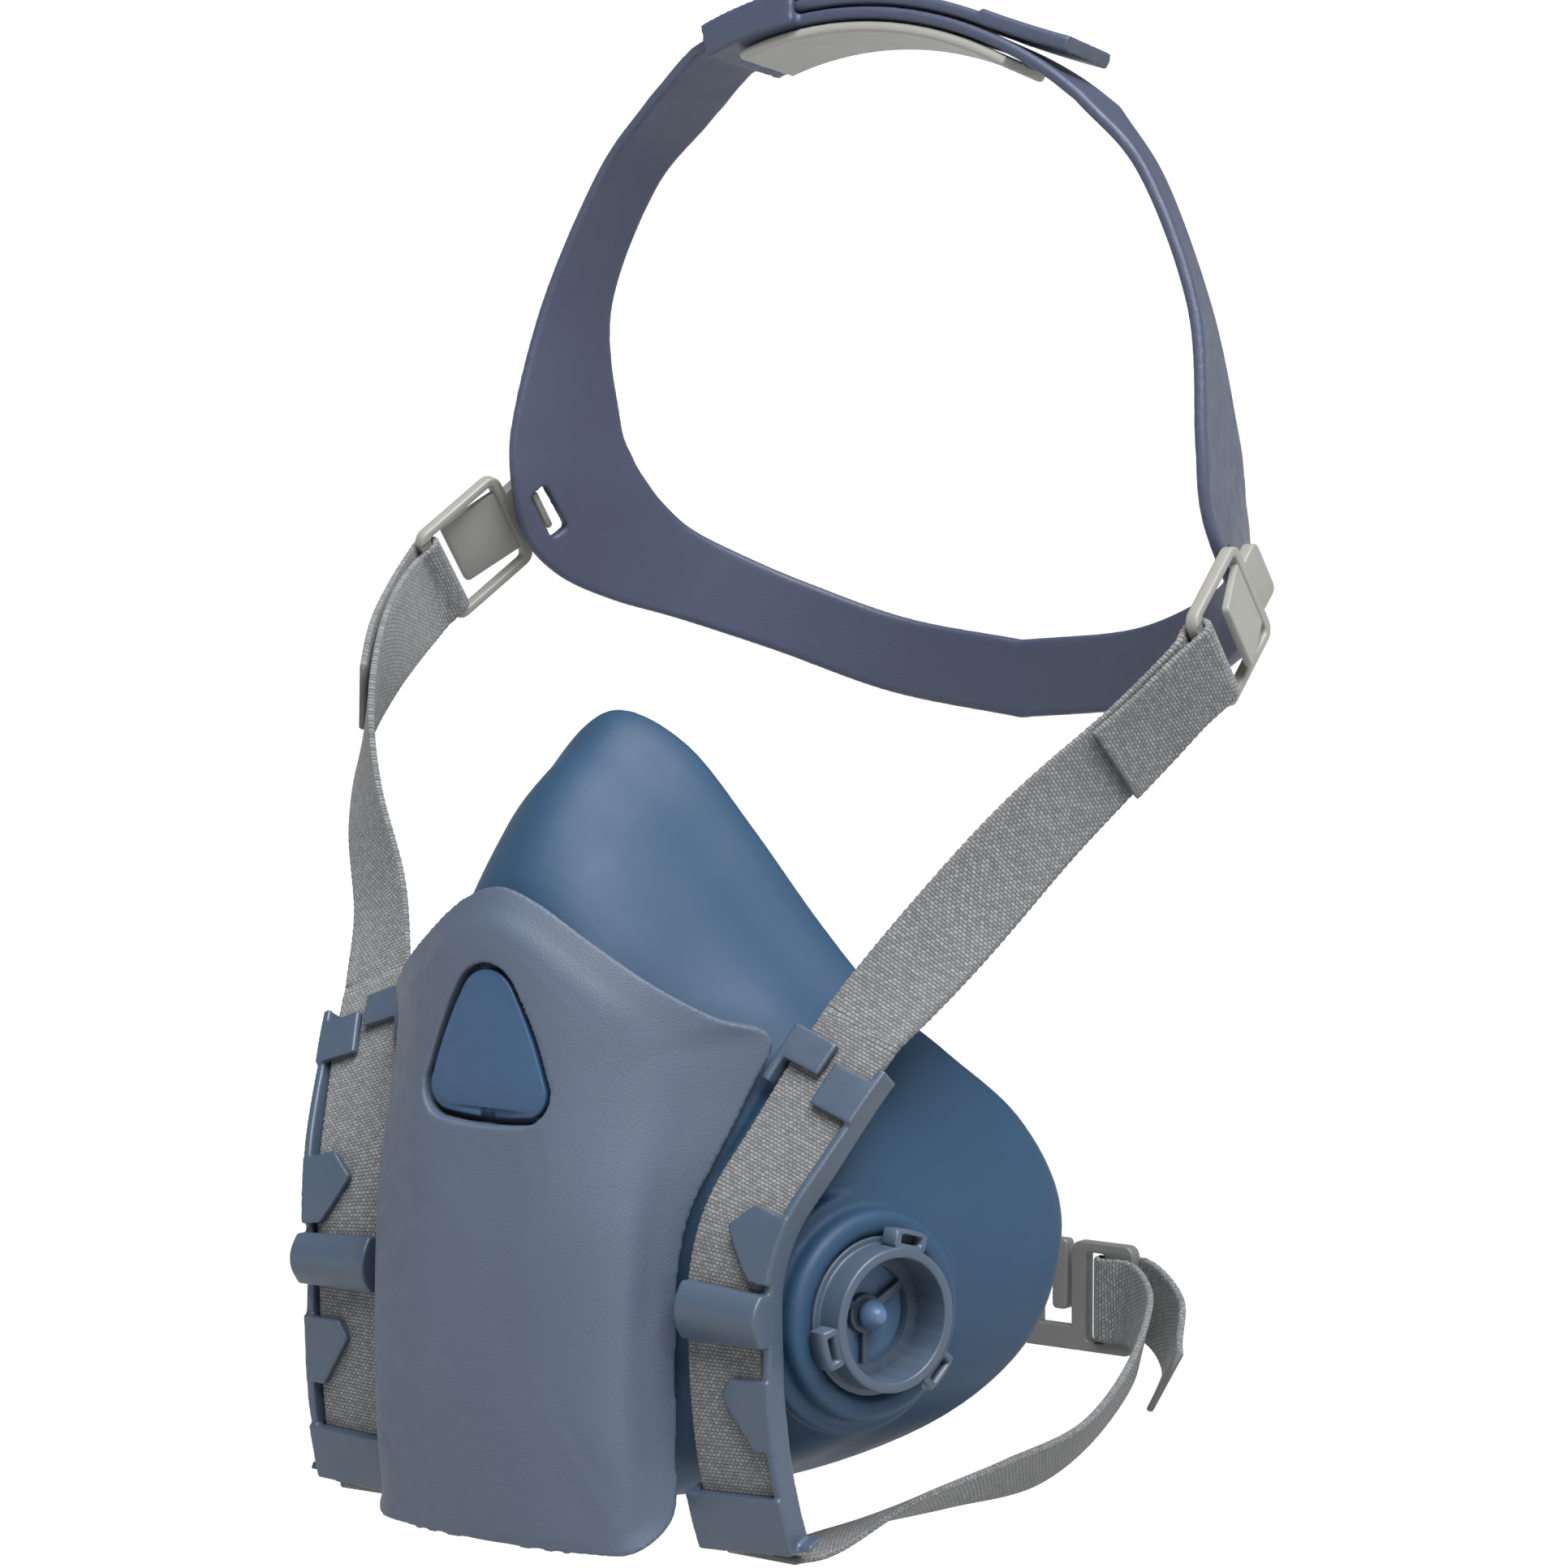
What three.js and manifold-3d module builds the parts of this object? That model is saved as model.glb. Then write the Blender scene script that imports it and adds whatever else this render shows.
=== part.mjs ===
// Reusable half-face respirator with a head harness, as separate pieces.
// Millimetres. +Z is up, the front of the mask faces -Y, +X is the wearer's left.
// The origin lies in the middle plane of the mask, level with the filter ports, where the seal meets the
// face.
import * as THREE from "three";
import { mergeVertices } from "three/addons/utils/BufferGeometryUtils.js";
import Module from "manifold-3d";

const wasm = await Module();
wasm.setup();

// ---- driving dimensions -------------------------------------------------------------------------
const GAP = 0.3; // clearance between neighbouring pieces
const WALL = 2.4; // silicone facepiece wall
const COVER_WALL = 2; // centre cover wall
const SEAT_Z = -8; // height of the exhalation valve axis
const FRONT_Y = -66; // front wall of the facepiece around the exhalation valve
const SEAT_BORE = 16; // free radius of the exhalation seat
const SEAT_HOLE = 21; // radius of the hole in the silicone
const EXHALE_R = 17.6; // exhalation flap radius
const EXHALE_LIFT = 1.5;
const PORT_AT = [56.8, -45.6, -5.5]; // middle of the rim of the silicone collar
const PORT_TURN = 15; // degrees the port axis is turned forwards of +X
const TUBE_R = 12.3; // bayonet tube
const TUBE_BORE = 10.5;
const TUBE_OUT = 5; // how far the tube stands out of the collar
const LUG_R = 15.3; // outside of the bayonet lugs
const COLLAR_R = 18; // raised silicone collar
const STEP_R = 21; // wider step under the collar
const STRAP_W = 16;
const STRAP_T = 1.3;
const BAND_W = 16.5; // plastic bands of the head cradle
const BAND_T = 2.2;
const CROWN_R = 79.3; // radius of the crown arc, about an axis along Y
const CROWN_AXIS = [33.5, 133.5]; // y and z of that axis
const CROWN_LEAN = 12; // degrees the crown bands lean back

// ---- vectors ------------------------------------------------------------------------------------
const V = (x, y, z) => new THREE.Vector3(x, y, z);
const vec = (p) => V(p[0], p[1], p[2]);
const rad = (d) => (d * Math.PI) / 180;
const lerp = (a, b, t) => a + (b - a) * t;

// ---- solids -------------------------------------------------------------------------------------
function solid(geometry) {
  const g = new THREE.BufferGeometry();
  g.setAttribute("position", geometry.getAttribute("position").clone());
  if (geometry.index) g.setIndex(geometry.index.clone());
  const merged = mergeVertices(g, 1e-4);
  const mesh = new wasm.Mesh({
    numProp: 3,
    vertProperties: new Float32Array(merged.attributes.position.array),
    triVerts: new Uint32Array(merged.index.array),
  });
  return new wasm.Manifold(mesh);
}

function faced(positions, triangles) {
  let volume = 0;
  const p = (i) => V(positions[3 * i], positions[3 * i + 1], positions[3 * i + 2]);
  for (let i = 0; i < triangles.length; i += 3) {
    volume += p(triangles[i]).dot(p(triangles[i + 1]).cross(p(triangles[i + 2])));
  }
  if (volume < 0) triangles.reverse();
  const g = new THREE.BufferGeometry();
  g.setAttribute("position", new THREE.BufferAttribute(new Float32Array(positions), 3));
  g.setIndex(triangles);
  return solid(g);
}

// A body through rings of equal length: its two ends capped, or the last ring joined to the first.
function loft(rings, joined = false) {
  const n = rings[0].length;
  const positions = [];
  const triangles = [];
  for (const ring of rings) for (const q of ring) positions.push(q.x, q.y, q.z);
  const last = joined ? rings.length : rings.length - 1;
  for (let r = 0; r < last; r++) {
    const a = r * n;
    const b = ((r + 1) % rings.length) * n;
    for (let i = 0; i < n; i++) {
      const j = (i + 1) % n;
      triangles.push(a + i, a + j, b + j, a + i, b + j, b + i);
    }
  }
  if (!joined) {
    for (const [start, turned] of [[0, true], [(rings.length - 1) * n, false]]) {
      const middle = V(0, 0, 0);
      for (let i = 0; i < n; i++) middle.add(V(...positions.slice(3 * (start + i), 3 * (start + i) + 3)));
      middle.divideScalar(n);
      const m = positions.length / 3;
      positions.push(middle.x, middle.y, middle.z);
      for (let i = 0; i < n; i++) {
        const j = (i + 1) % n;
        if (turned) triangles.push(start + j, start + i, m);
        else triangles.push(start + i, start + j, m);
      }
    }
  }
  return faced(positions, triangles);
}

const both = (half) => [
  ...half.map(vec),
  ...half.slice(1, -1).reverse().map((p) => V(-p[0], p[1], p[2])),
];

// Rings resampled around to n points and along to the given number of steps between each pair.
function surface(controls, n, steps) {
  const around = controls.map((ring) => {
    const curve = new THREE.CatmullRomCurve3(ring, true, "catmullrom", 0.5);
    return Array.from({ length: n }, (_, i) => curve.getPoint(i / n));
  });
  const out = [];
  const spans = controls.length - 1;
  const lines = around[0].map((_, i) => new THREE.CatmullRomCurve3(around.map((r) => r[i]), false,
    "centripetal"));
  for (let k = 0; k < spans; k++) {
    for (let s = 0; s < steps[k]; s++) {
      out.push(lines.map((line) => line.getPoint((k + s / steps[k]) / spans)));
    }
  }
  out.push(around[spans]);
  return out;
}

// The same rings moved along the surface normal.
function offset(rings, distance) {
  const n = rings[0].length;
  return rings.map((ring, r) =>
    ring.map((q, i) => {
      const along = rings[Math.min(r + 1, rings.length - 1)][i].clone().sub(rings[Math.max(r - 1, 0)][i]);
      const round = ring[(i + 1) % n].clone().sub(ring[(i + n - 1) % n]);
      return q.clone().add(along.cross(round).normalize().multiplyScalar(distance));
    }),
  );
}

// A strip along frames {p, w}: u runs along w, v along the strip's outward normal.
function frames(list) {
  return list.map((f, i) => {
    const a = list[Math.max(i - 1, 0)].p;
    const b = list[Math.min(i + 1, list.length - 1)].p;
    const t = b.clone().sub(a).normalize();
    const w = f.w.clone().addScaledVector(t, -f.w.dot(t)).normalize();
    return { p: f.p, t, w, v: t.clone().cross(w) };
  });
}

function along(points, widths, n, from = 0, to = 1) {
  const path = new THREE.CatmullRomCurve3(points.map(vec), false, "centripetal");
  const turn = new THREE.CatmullRomCurve3(widths.map(vec), false, "catmullrom", 0.5);
  const raw = [];
  for (let i = 0; i <= n; i++) {
    const k = lerp(from, to, i / n);
    raw.push({ p: path.getPoint(k), w: turn.getPoint(k).normalize() });
  }
  return raw;
}

const corner = (f, u, v) => f.p.clone().addScaledVector(f.w, u).addScaledVector(f.v, v);

function strip(list, u0, u1, v0, v1) {
  const value = (x, k) => (typeof x === "function" ? x(k) : x);
  return loft(
    list.map((f, i) => {
      const k = i / (list.length - 1);
      const [a, b, c, d] = [value(u0, k), value(u1, k), value(v0, k), value(v1, k)];
      return [corner(f, a, c), corner(f, b, c), corner(f, b, d), corner(f, a, d)];
    }),
  );
}

const band = (list) => strip(frames(list), -BAND_W / 2, BAND_W / 2, -BAND_T / 2, BAND_T / 2);
const webbing = (list) => strip(list, -STRAP_W / 2, STRAP_W / 2, -STRAP_T / 2, STRAP_T / 2);

// An extruded outline; the outline lies in x and y of the placing matrix, its depth along z.
function plate(outline, from, to, holes = []) {
  const shape = new THREE.Shape(outline.map((p) => new THREE.Vector2(p[0], p[1])));
  for (const h of holes) shape.holes.push(new THREE.Path(h.map((p) => new THREE.Vector2(p[0], p[1]))));
  const g = new THREE.ExtrudeGeometry(shape, { depth: to - from, bevelEnabled: false, curveSegments: 8 });
  g.translate(0, 0, from);
  return solid(g);
}

function rounded(x0, y0, x1, y1, r, k = 2) {
  const out = [];
  for (const [cx, cy, a] of [[x1 - r, y0 + r, -90], [x1 - r, y1 - r, 0], [x0 + r, y1 - r, 90],
    [x0 + r, y0 + r, 180]]) {
    for (let i = 0; i <= k; i++) {
      const q = rad(a + (90 * i) / k);
      out.push([cx + r * Math.cos(q), cy + r * Math.sin(q)]);
    }
  }
  return out;
}

// A turned ring or disc from a closed profile of [radius, height]; its axis is z of the placing matrix.
function turned(profile, segments) {
  const pts = [...profile, profile[0]].map((p) => new THREE.Vector2(p[0], p[1]));
  const g = new THREE.LatheGeometry(pts, segments);
  g.rotateX(Math.PI / 2);
  const s = g.index.array;
  const p = g.attributes.position.array;
  const keep = [];
  const same = (a, b) => Math.hypot(p[3 * a] - p[3 * b], p[3 * a + 1] - p[3 * b + 1],
    p[3 * a + 2] - p[3 * b + 2]) < 1e-5;
  for (let i = 0; i < s.length; i += 3) {
    if (!same(s[i], s[i + 1]) && !same(s[i + 1], s[i + 2]) && !same(s[i], s[i + 2])) keep.push(s[i],
      s[i + 1], s[i + 2]);
  }
  const merged = new THREE.BufferGeometry();
  merged.setAttribute("position", new THREE.BufferAttribute(p, 3));
  merged.setIndex(keep);
  const clean = mergeVertices(merged, 1e-4);
  return faced(Array.from(clean.attributes.position.array), Array.from(clean.index.array));
}

const place = (x, y, z, at) => new THREE.Matrix4().makeBasis(vec(x), vec(y), vec(z)).setPosition(vec(at));
const moved = (s, m) => s.transform(Array.from(m.elements));
const mirrored = (s) => s.mirror([1, 0, 0]);
const block = (x0, x1, y0, y1, z0, z1) => plate([[x0, y0], [x1, y0], [x1, y1], [x0, y1]], z0, z1);

// ---- silicone facepiece -------------------------------------------------------------------------
// Half rings from the nose (first point) round the wearer's left cheek to the chin (last point).
const SEAL = [[0, -44, 94], [12, -40.5, 88], [23, -36.5, 74], [33.5, -32, 58.5], [43, -27.5, 46],
  [52, -20, 36],
  [59, -8.5, 24], [62.5, -1, 9], [61.5, -1, -6], [56, -5, -19.5], [43, -12.5, -31.5], [23, -24.5, -40.5],
    [0, -30.5, -44]];
const CHEEK = [[0, -61, 81], [11, -58.5, 76], [20.5, -55, 64], [29, -52, 52], [37.5, -48.5, 42.5],
  [44.5, -46.5, 32],
  [50.5, -47, 19], [52.5, -46.5, 6], [52, -46, -7], [48, -46, -19.5], [38, -47, -31], [20.5, -49.5, -39.5],
    [0, -51, -42]];
const FRONT = [[0, -72.5, 61], [9, -71.5, 58], [16.5, -69.5, 50.5], [22.5, -66.2, 41], [27, -63.2, 31],
  [29.5, -63, 20],
  [30, -63.5, 9], [30, -63.5, -1], [29.5, -63.5, -11], [28, -63.5, -21], [22.5, -64, -30.5],
    [12.5, -64.6, -36.5],
  [0, -65, -38.5]];
const hole = (r) => FRONT.map((_, i) => [r * Math.sin(rad(15 * i)), FRONT_Y,
  SEAT_Z + r * Math.cos(rad(15 * i))]);

// A half ring moved inwards in the front view, and back towards the face.
function inset(half, inwards, back) {
  return half.map((p, i) => {
    const a = half[Math.max(i - 1, 0)];
    const b = half[Math.min(i + 1, half.length - 1)];
    let [nx, nz] = [-(b[2] - a[2]), b[0] - a[0]];
    if (i === 0 || i === half.length - 1) nx = 0;
    const d = Math.hypot(nx, nz) || 1;
    return [p[0] - (inwards * nx) / d, p[1] + back, p[2] - (inwards * nz) / d];
  });
}

const mix = (a, b, t) => a.map((p, i) => p.map((x, k) => lerp(x, b[i][k], t)));

function facepiece() {
  const rings = surface(
    [hole(SEAT_HOLE), hole(SEAT_HOLE + 3.4), FRONT, CHEEK, mix(CHEEK, SEAL, 0.55), mix(CHEEK, SEAL, 0.9),
      inset(SEAL, 0.6, 1.6),
      inset(SEAL, 4.5, 3.6), inset(SEAL, 11, 2)].map(both),
    36, [1, 1, 3, 2, 1, 1, 1, 1]);
  return loft([...rings, ...offset(rings, WALL).reverse()], true).subtract(seatRoom());
}

// ---- filter ports -------------------------------------------------------------------------------
const portAxis = [Math.cos(rad(PORT_TURN)), -Math.sin(rad(PORT_TURN)), 0];
const PORT = place([Math.sin(rad(PORT_TURN)), Math.cos(rad(PORT_TURN)), 0], [0, 0, 1], portAxis, PORT_AT);
const COLLAR_BORE = 13.9;
const portHole = turned([[0, -22], [15.8, -22], [15.8, -9.6], [TUBE_R + GAP, -9.6], [TUBE_R + GAP, -1.6],
  [COLLAR_BORE, -1.6], [COLLAR_BORE, 8], [0, 8]], 24);
const portBoss = turned([[8, -14], [STEP_R - 2.4, -14], [STEP_R, -6], [STEP_R - 0.6, -4.4],
  [COLLAR_R + 0.6, -3.8], [COLLAR_R, -1.2], [COLLAR_R - 1, -0.1], [COLLAR_R - 2, 0], [8, 0]], 24);
const LUGS = [75, 195, 315]; // degrees round the port axis
const SPOKES = [30, 150, 270];

function bayonet() {
  const tube = turned([[TUBE_BORE, -9.2], [TUBE_R, -9.2], [TUBE_R, -1.2], [13.5, -1.2], [13.5, -0.4],
    [TUBE_R, -0.2], [TUBE_R, TUBE_OUT - 0.6], [TUBE_R - 0.6, TUBE_OUT], [TUBE_BORE, TUBE_OUT]], 24);
  const ledge = turned([[8.5, -4], [TUBE_BORE + 0.4, -4], [TUBE_BORE + 0.4, -2.6], [8.5, -2.6]], 24);
  const hub = turned([[1.35, -4], [3.4, -4], [3.4, -3], [1.35, -3]], 12);
  let body = tube.add(ledge).add(hub);
  for (const a of SPOKES) {
    body = body.add(moved(block(3, 8.9, -0.8, 0.8, -4, -3), new THREE.Matrix4().makeRotationZ(rad(a))));
  }
  const lug = block(TUBE_R - 0.6, LUG_R, -3.4, 3.4, 0.8, 4.6)
    .subtract(block(TUBE_R + 0.5, LUG_R - 1, -2.2, 2.2, 1.8, 6));
  for (const a of LUGS) body = body.add(moved(lug, new THREE.Matrix4().makeRotationZ(rad(a))));
  return moved(body, PORT);
}

const retainer = () => moved(turned([[TUBE_R + GAP, -12.5], [14.8, -12.5], [15.5, -11.5], [15.5, -10],
  [TUBE_R + GAP, -10]], 24), PORT);

// Flap, stem and the cone that keeps it in the hub.
const inhaleValve = () => moved(turned([[0, -5.3], [9.1, -5.1], [9.1, -4.6], [1, -4.35], [1, -1.8],
  [2.7, -1.8], [2.5, -1], [1.2, 1], [0, 1.3]], 20), PORT);

// ---- exhalation valve ---------------------------------------------------------------------------
const SEAT = place([1, 0, 0], [0, 0, 1], [0, -1, 0], [0, FRONT_Y, SEAT_Z]);

function valveSeat() {
  const r = SEAT_HOLE;
  const ring = turned([[SEAT_BORE, -4.4], [r + 2, -4.4], [r + 2.4, -WALL - GAP - 0.1],
    [r - GAP, -WALL - GAP - 0.1], [r - GAP, GAP],
    [r + 2.4, GAP], [r + 2.4, 1.4], [r - 2, 2.2], [SEAT_BORE, 2.2]], 28);
  const hub = turned([[1.6, -1], [4, -1], [4, 1.6], [1.6, 1.6]], 12);
  let body = ring.add(hub);
  for (const a of [0, 60, 120, 180, 240, 300]) {
    body = body.add(moved(block(3.4, SEAT_BORE + 0.6, -0.8, 0.8, -0.8, 1.4),
      new THREE.Matrix4().makeRotationZ(rad(a + 30))));
  }
  return moved(body, SEAT);
}

const exhaleValve = () => moved(turned([[0, -4.8], [1, -4.6], [2.5, -1.5 - EXHALE_LIFT],
  [1.2, -1.5 - EXHALE_LIFT], [1.2, 2.5],
  [EXHALE_R, 2.5], [EXHALE_R, 3], [3, 3.4], [0, 3.6]], 24), SEAT);

// What the seat takes up in the silicone wall.
const seatRoom = () => moved(turned([[SEAT_HOLE - 4, -9], [SEAT_HOLE + 3, -9], [SEAT_HOLE + 3, -WALL - 0.1],
  [SEAT_HOLE, -WALL - 0.1],
  [SEAT_HOLE, 0], [SEAT_HOLE + 3, 0], [SEAT_HOLE + 3, 6], [SEAT_HOLE - 4, 6]], 28), SEAT);

// ---- centre cover and badge ---------------------------------------------------------------------
const EDGE = [[0, -76, 66], [8, -75.3, 63.5], [16, -73.4, 58.4], [27, -68.6, 50.6], [35.5, -61.5, 44.6],
  [41, -54, 41.2],
  [38.6, -57, 32], [35.6, -61.8, 21.5], [32.6, -65.6, 12], [31, -67, 1], [30.6, -67, -13],
    [30.8, -67.2, -28],
  [31.4, -68.6, -39], [28, -75.4, -44.6], [19, -78.3, -45.4], [9.5, -79.6, -45.5], [0, -80, -45.5]];
const SHOULDER = [[0, -79.2, 59], [6, -78.9, 57.4], [12.4, -77.8, 53.2], [20, -75.2, 46.6],
  [24.5, -72.6, 41.4], [26.4, -71.6, 36.4],
  [26.8, -72.8, 28.5], [26.9, -75, 19], [26.9, -76.6, 10], [26.8, -77.4, 0], [26.7, -77.8, -13],
    [26.7, -77.6, -27],
  [26.8, -76.4, -37], [24.4, -77.4, -41.6], [16.8, -79.4, -42.4], [8.4, -80.6, -42.6], [0, -81, -42.6]];
const FACE = SHOULDER.map(([x, , z]) => {
  const h = lerp(4, z, 0.55);
  return [0.55 * x, -83.5 + 0.0016 * (h + 8) ** 2 + 1.1 * (x / 27) ** 2, h];
});
const MIDDLE = FACE.map(([x, , z]) => [0.12 * x, -83.3, lerp(4, z, 0.12)]);
const BADGE_MID = [0, 39]; // x and z of the window for the badge

function triangle(grow) {
  const out = [];
  const corners = [[0, 7.4, 6.9], [8.3, -7.5, 4.9], [-8.3, -7.5, 4.9]];
  for (let c = 0; c < 3; c++) {
    const [x, z, r] = corners[(3 - c) % 3];
    const a = [90, 210, 330][c];
    for (let i = 0; i <= 5; i++) {
      const q = rad(a - 60 + 24 * i);
      out.push([x + (r + grow) * Math.cos(q), z + (r + grow) * Math.sin(q)]);
    }
  }
  return out.map(([x, z]) => [x + BADGE_MID[0], z + BADGE_MID[1]]);
}
const FACING = place([1, 0, 0], [0, 0, 1], [0, -1, 0], [0, 0, 0]);

function centreCover() {
  const rings = surface([MIDDLE, FACE, SHOULDER, mix(SHOULDER, EDGE, 0.55), EDGE].map(both), 40,
    [1, 2, 2, 1]);
  const shell = loft([...rings, ...offset(rings, COVER_WALL).reverse()]);
  const window = moved(plate(triangle(0), 60, 90), FACING);
  const tray = moved(plate(triangle(1.8), 74.4, 76), FACING);
  const wall = moved(plate(triangle(1.8), 75.8, 84, [triangle(0).reverse()]),
    FACING).intersect(loft(rings));
  return shell.subtract(window).add(tray).add(wall);
}

const badge = () => moved(plate(triangle(-1.1), 76.3, 79.3), FACING);

// ---- strap rails --------------------------------------------------------------------------------
// Strap path down the wearer's left rail, from the guide at the top to the bottom loop.
const RAIL_POINTS = [[53.2, -46.4, 41.8], [51, -50.6, 35.9], [47, -57.6, 24.5], [43, -64.2, 13],
  [41.3, -66.6, 3], [41, -66.6, -8],
  [41.2, -66, -20], [41.8, -64.4, -32], [42.4, -61.4, -42.5], [42.6, -60.3, -45]];
const RAIL_WIDTHS = [[0.9, -0.05, -0.43], [0.86, -0.13, -0.49], [0.93, -0.1, -0.36], [0.99, 0, -0.12],
  [1, 0, 0], [1, 0, 0], [1, 0, 0],
  [1, 0, 0], [1, 0, 0], [1, 0, 0]];
const RAIL_LENGTH = 54; // divisions of that path
const span = (a, b, n) => frames(along(RAIL_POINTS, RAIL_WIDTHS, n, a / RAIL_LENGTH, b / RAIL_LENGTH));
const IN = -STRAP_W / 2 - 0.4;
const OUT = STRAP_W / 2 + 0.4;
const FLOOR = [-2.6, -1];
const LID = [1, 2.5];

function strapRail() {
  const edge = OUT + 1.6;
  const pieces = [
    strip(span(3, 51, 14), IN - 0.2, edge, ...FLOOR),
    strip(span(3, 51, 14), OUT, edge, -2.6, (k) => 1.2 + 1.2 * Math.sin(6.3 * k) ** 2),
    // guide: two side walls, and two tabs with the slot between them
    strip(span(3, 9, 2), IN - 1.6, IN, -2.6, LID[1]),
    strip(span(3, 9, 2), OUT, edge, -2.6, LID[1]),
    strip(span(3, 7, 1), IN - 1.6, -0.8, ...LID),
    strip(span(5, 9, 1), 0.8, edge, ...LID),
    // first hook, barrel, second hook
    strip(span(17, 24, 3), (k) => lerp(-1, 6, Math.abs(k - 0.35) * 1.5), edge, ...LID),
    strip(span(25, 30, 4), -7, edge, 1, (k) => 2.2 + 3.6 * Math.sin(Math.PI * (0.12 + 0.76 * k))),
    strip(span(33, 39, 3), (k) => lerp(0, 6, Math.abs(k - 0.25) * 1.3), edge, ...LID),
    // bottom loop with its foot tab
    strip(span(43, 50, 2), IN - 1.6, edge, LID[0], LID[1] + 0.3),
    strip(span(43, 50, 2), IN - 1.6, IN, -2.6, LID[1]),
    strip(span(48, 50, 2), OUT, OUT + 4.4, -2.6, (k) => 0.5 + k),
  ];
  return pieces.reduce((a, b) => a.add(b));
}
const railRoom = () => strip(span(2, 52, 14), IN - 2, OUT + 2, -2.9, 9);
const railStrap = () => webbing(span(1, 53, 18));

// ---- upper straps and buckles -------------------------------------------------------------------
// A buckle's own frame: u across towards the back of the head, t along the strap to the cradle, v outwards.
function buckleFrame(at, alongStrap, outwards) {
  const t = vec(alongStrap).normalize();
  const v = vec(outwards);
  v.addScaledVector(t, -v.dot(t)).normalize();
  const u = t.clone().cross(v);
  return {
    u,
    at: (a, b, c) => vec(at).addScaledVector(u, a).addScaledVector(t, b).addScaledVector(v, c),
    matrix: place(u.toArray(), t.toArray(), v.toArray(), at),
  };
}
// The harness hangs a little askew, so the wearer's right buckle sits higher; both are given on the left
// side.
const LEFT_BUCKLE = buckleFrame([82.9, 21.5, 108.7], [-0.097, 0.776, 0.623], [0.995, 0.086, 0.047]);
const RIGHT_BUCKLE = buckleFrame([85.4, 21.4, 116.6], [-0.282, 0.76, 0.586], [0.959, 0.201, 0.201]);
const BAR_T = -10.7; // middle of the bar that the strap turns round
const BAR_HALF = 0.9; // half its thickness
const STRAP_OFF = 2.25; // strap layers this far from the middle of the bar
const HOOK_T = [11.4, 12.8];
// the wearer's left strap
const FREE = [[53.5, -45.4, 43], [60, -32, 57], [68, -15, 74.5], [76, 0.5, 88.8]];
// the right one
const SLACK = [[53.5, -45.4, 43], [59, -38.5, 56], [68, -32, 72], [74, -24, 86], [80, -10, 98.5]];
const FREE_W = [[0.9, -0.05, -0.43], [0.74, 0.3, -0.6], [0.4, 0.6, -0.69], [0.1, 0.68, -0.72]];
const SLACK_W = [[0.9, -0.05, -0.43], [0.85, 0.15, -0.5], [0.74, 0.36, -0.57], [0.56, 0.55, -0.62],
  [0.25, 0.66, -0.71]];

function upperStrap(buckle, points, widths) {
  const w = buckle.u.toArray();
  const main = frames(along([...points, ...[-14.5, BAR_T - 0.6].map((t) => buckle.at(0, t,
    -STRAP_OFF).toArray())],
    [...widths, w, w], 20));
  const turn = [];
  for (let a = -66; a <= 66; a += 22) {
    turn.push({ p: buckle.at(0, BAR_T + STRAP_OFF * Math.cos(rad(a)), STRAP_OFF * Math.sin(rad(a))),
      w: buckle.u });
  }
  // the tail lies along the strap, on its outside
  const beside = [15, 13, 11].map((i) => ({ p: main[i].p.clone().addScaledVector(main[i].v, -2.1),
    w: main[i].w }));
  const tail = along([buckle.at(0, BAR_T - 0.6, STRAP_OFF),
    ...beside.map((f) => f.p)].map((p) => p.toArray()),
    [w, ...beside.map((f) => f.w.toArray())], 9);
  return webbing(frames([...main, ...turn, ...tail]));
}

// Frame with a bar for the strap, a tilted grip plate in its window, and a tab that hooks into the cradle.
function buckle(frame) {
  const t = 1.2;
  const ring = plate(rounded(-10.4, -12, 10.4, 9, 2.6), -t, t,
    [rounded(-8.8, BAR_T + 1.2, 8.8, 7, 1).reverse()])
    .subtract(block(-8.8, 8.8, -13, BAR_T + 2, BAR_HALF, 3))
    .subtract(block(-8.8, 8.8, -13, BAR_T + 2, -3, -BAR_HALF));
  const tilt = new THREE.Matrix4().makeRotationX(rad(-13)).setPosition(0, 8, 0);
  const grip = moved(plate(rounded(-6.8, -13.2, 6.8, 0, 1), -0.7, 0.7), tilt);
  const tab = plate(rounded(-5.6, 8, 5.6, 14.6, 1.6), -t, t);
  const hook = plate(rounded(-4.2, HOOK_T[0], 4.2, HOOK_T[1], 0.5), -5.6, 0);
  return moved(ring.add(grip).add(tab).add(hook), frame.matrix);
}

// ---- head cradle --------------------------------------------------------------------------------
function crownFrames(a, b, n, lift = 0) {
  const out = [];
  for (let i = 0; i <= n; i++) {
    const q = rad(lerp(a, b, i / n));
    const up = V(Math.cos(rad(CROWN_LEAN)) * Math.sin(q), Math.sin(rad(CROWN_LEAN)),
      Math.cos(rad(CROWN_LEAN)) * Math.cos(q));
    const p = V(CROWN_R * Math.sin(q), CROWN_AXIS[0],
      CROWN_AXIS[1] + CROWN_R * Math.cos(q)).addScaledVector(up, lift);
    const t = V(Math.cos(q), 0, -Math.sin(q));
    out.push({ p, t, w: up.clone().cross(t), v: up });
  }
  return out;
}

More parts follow.
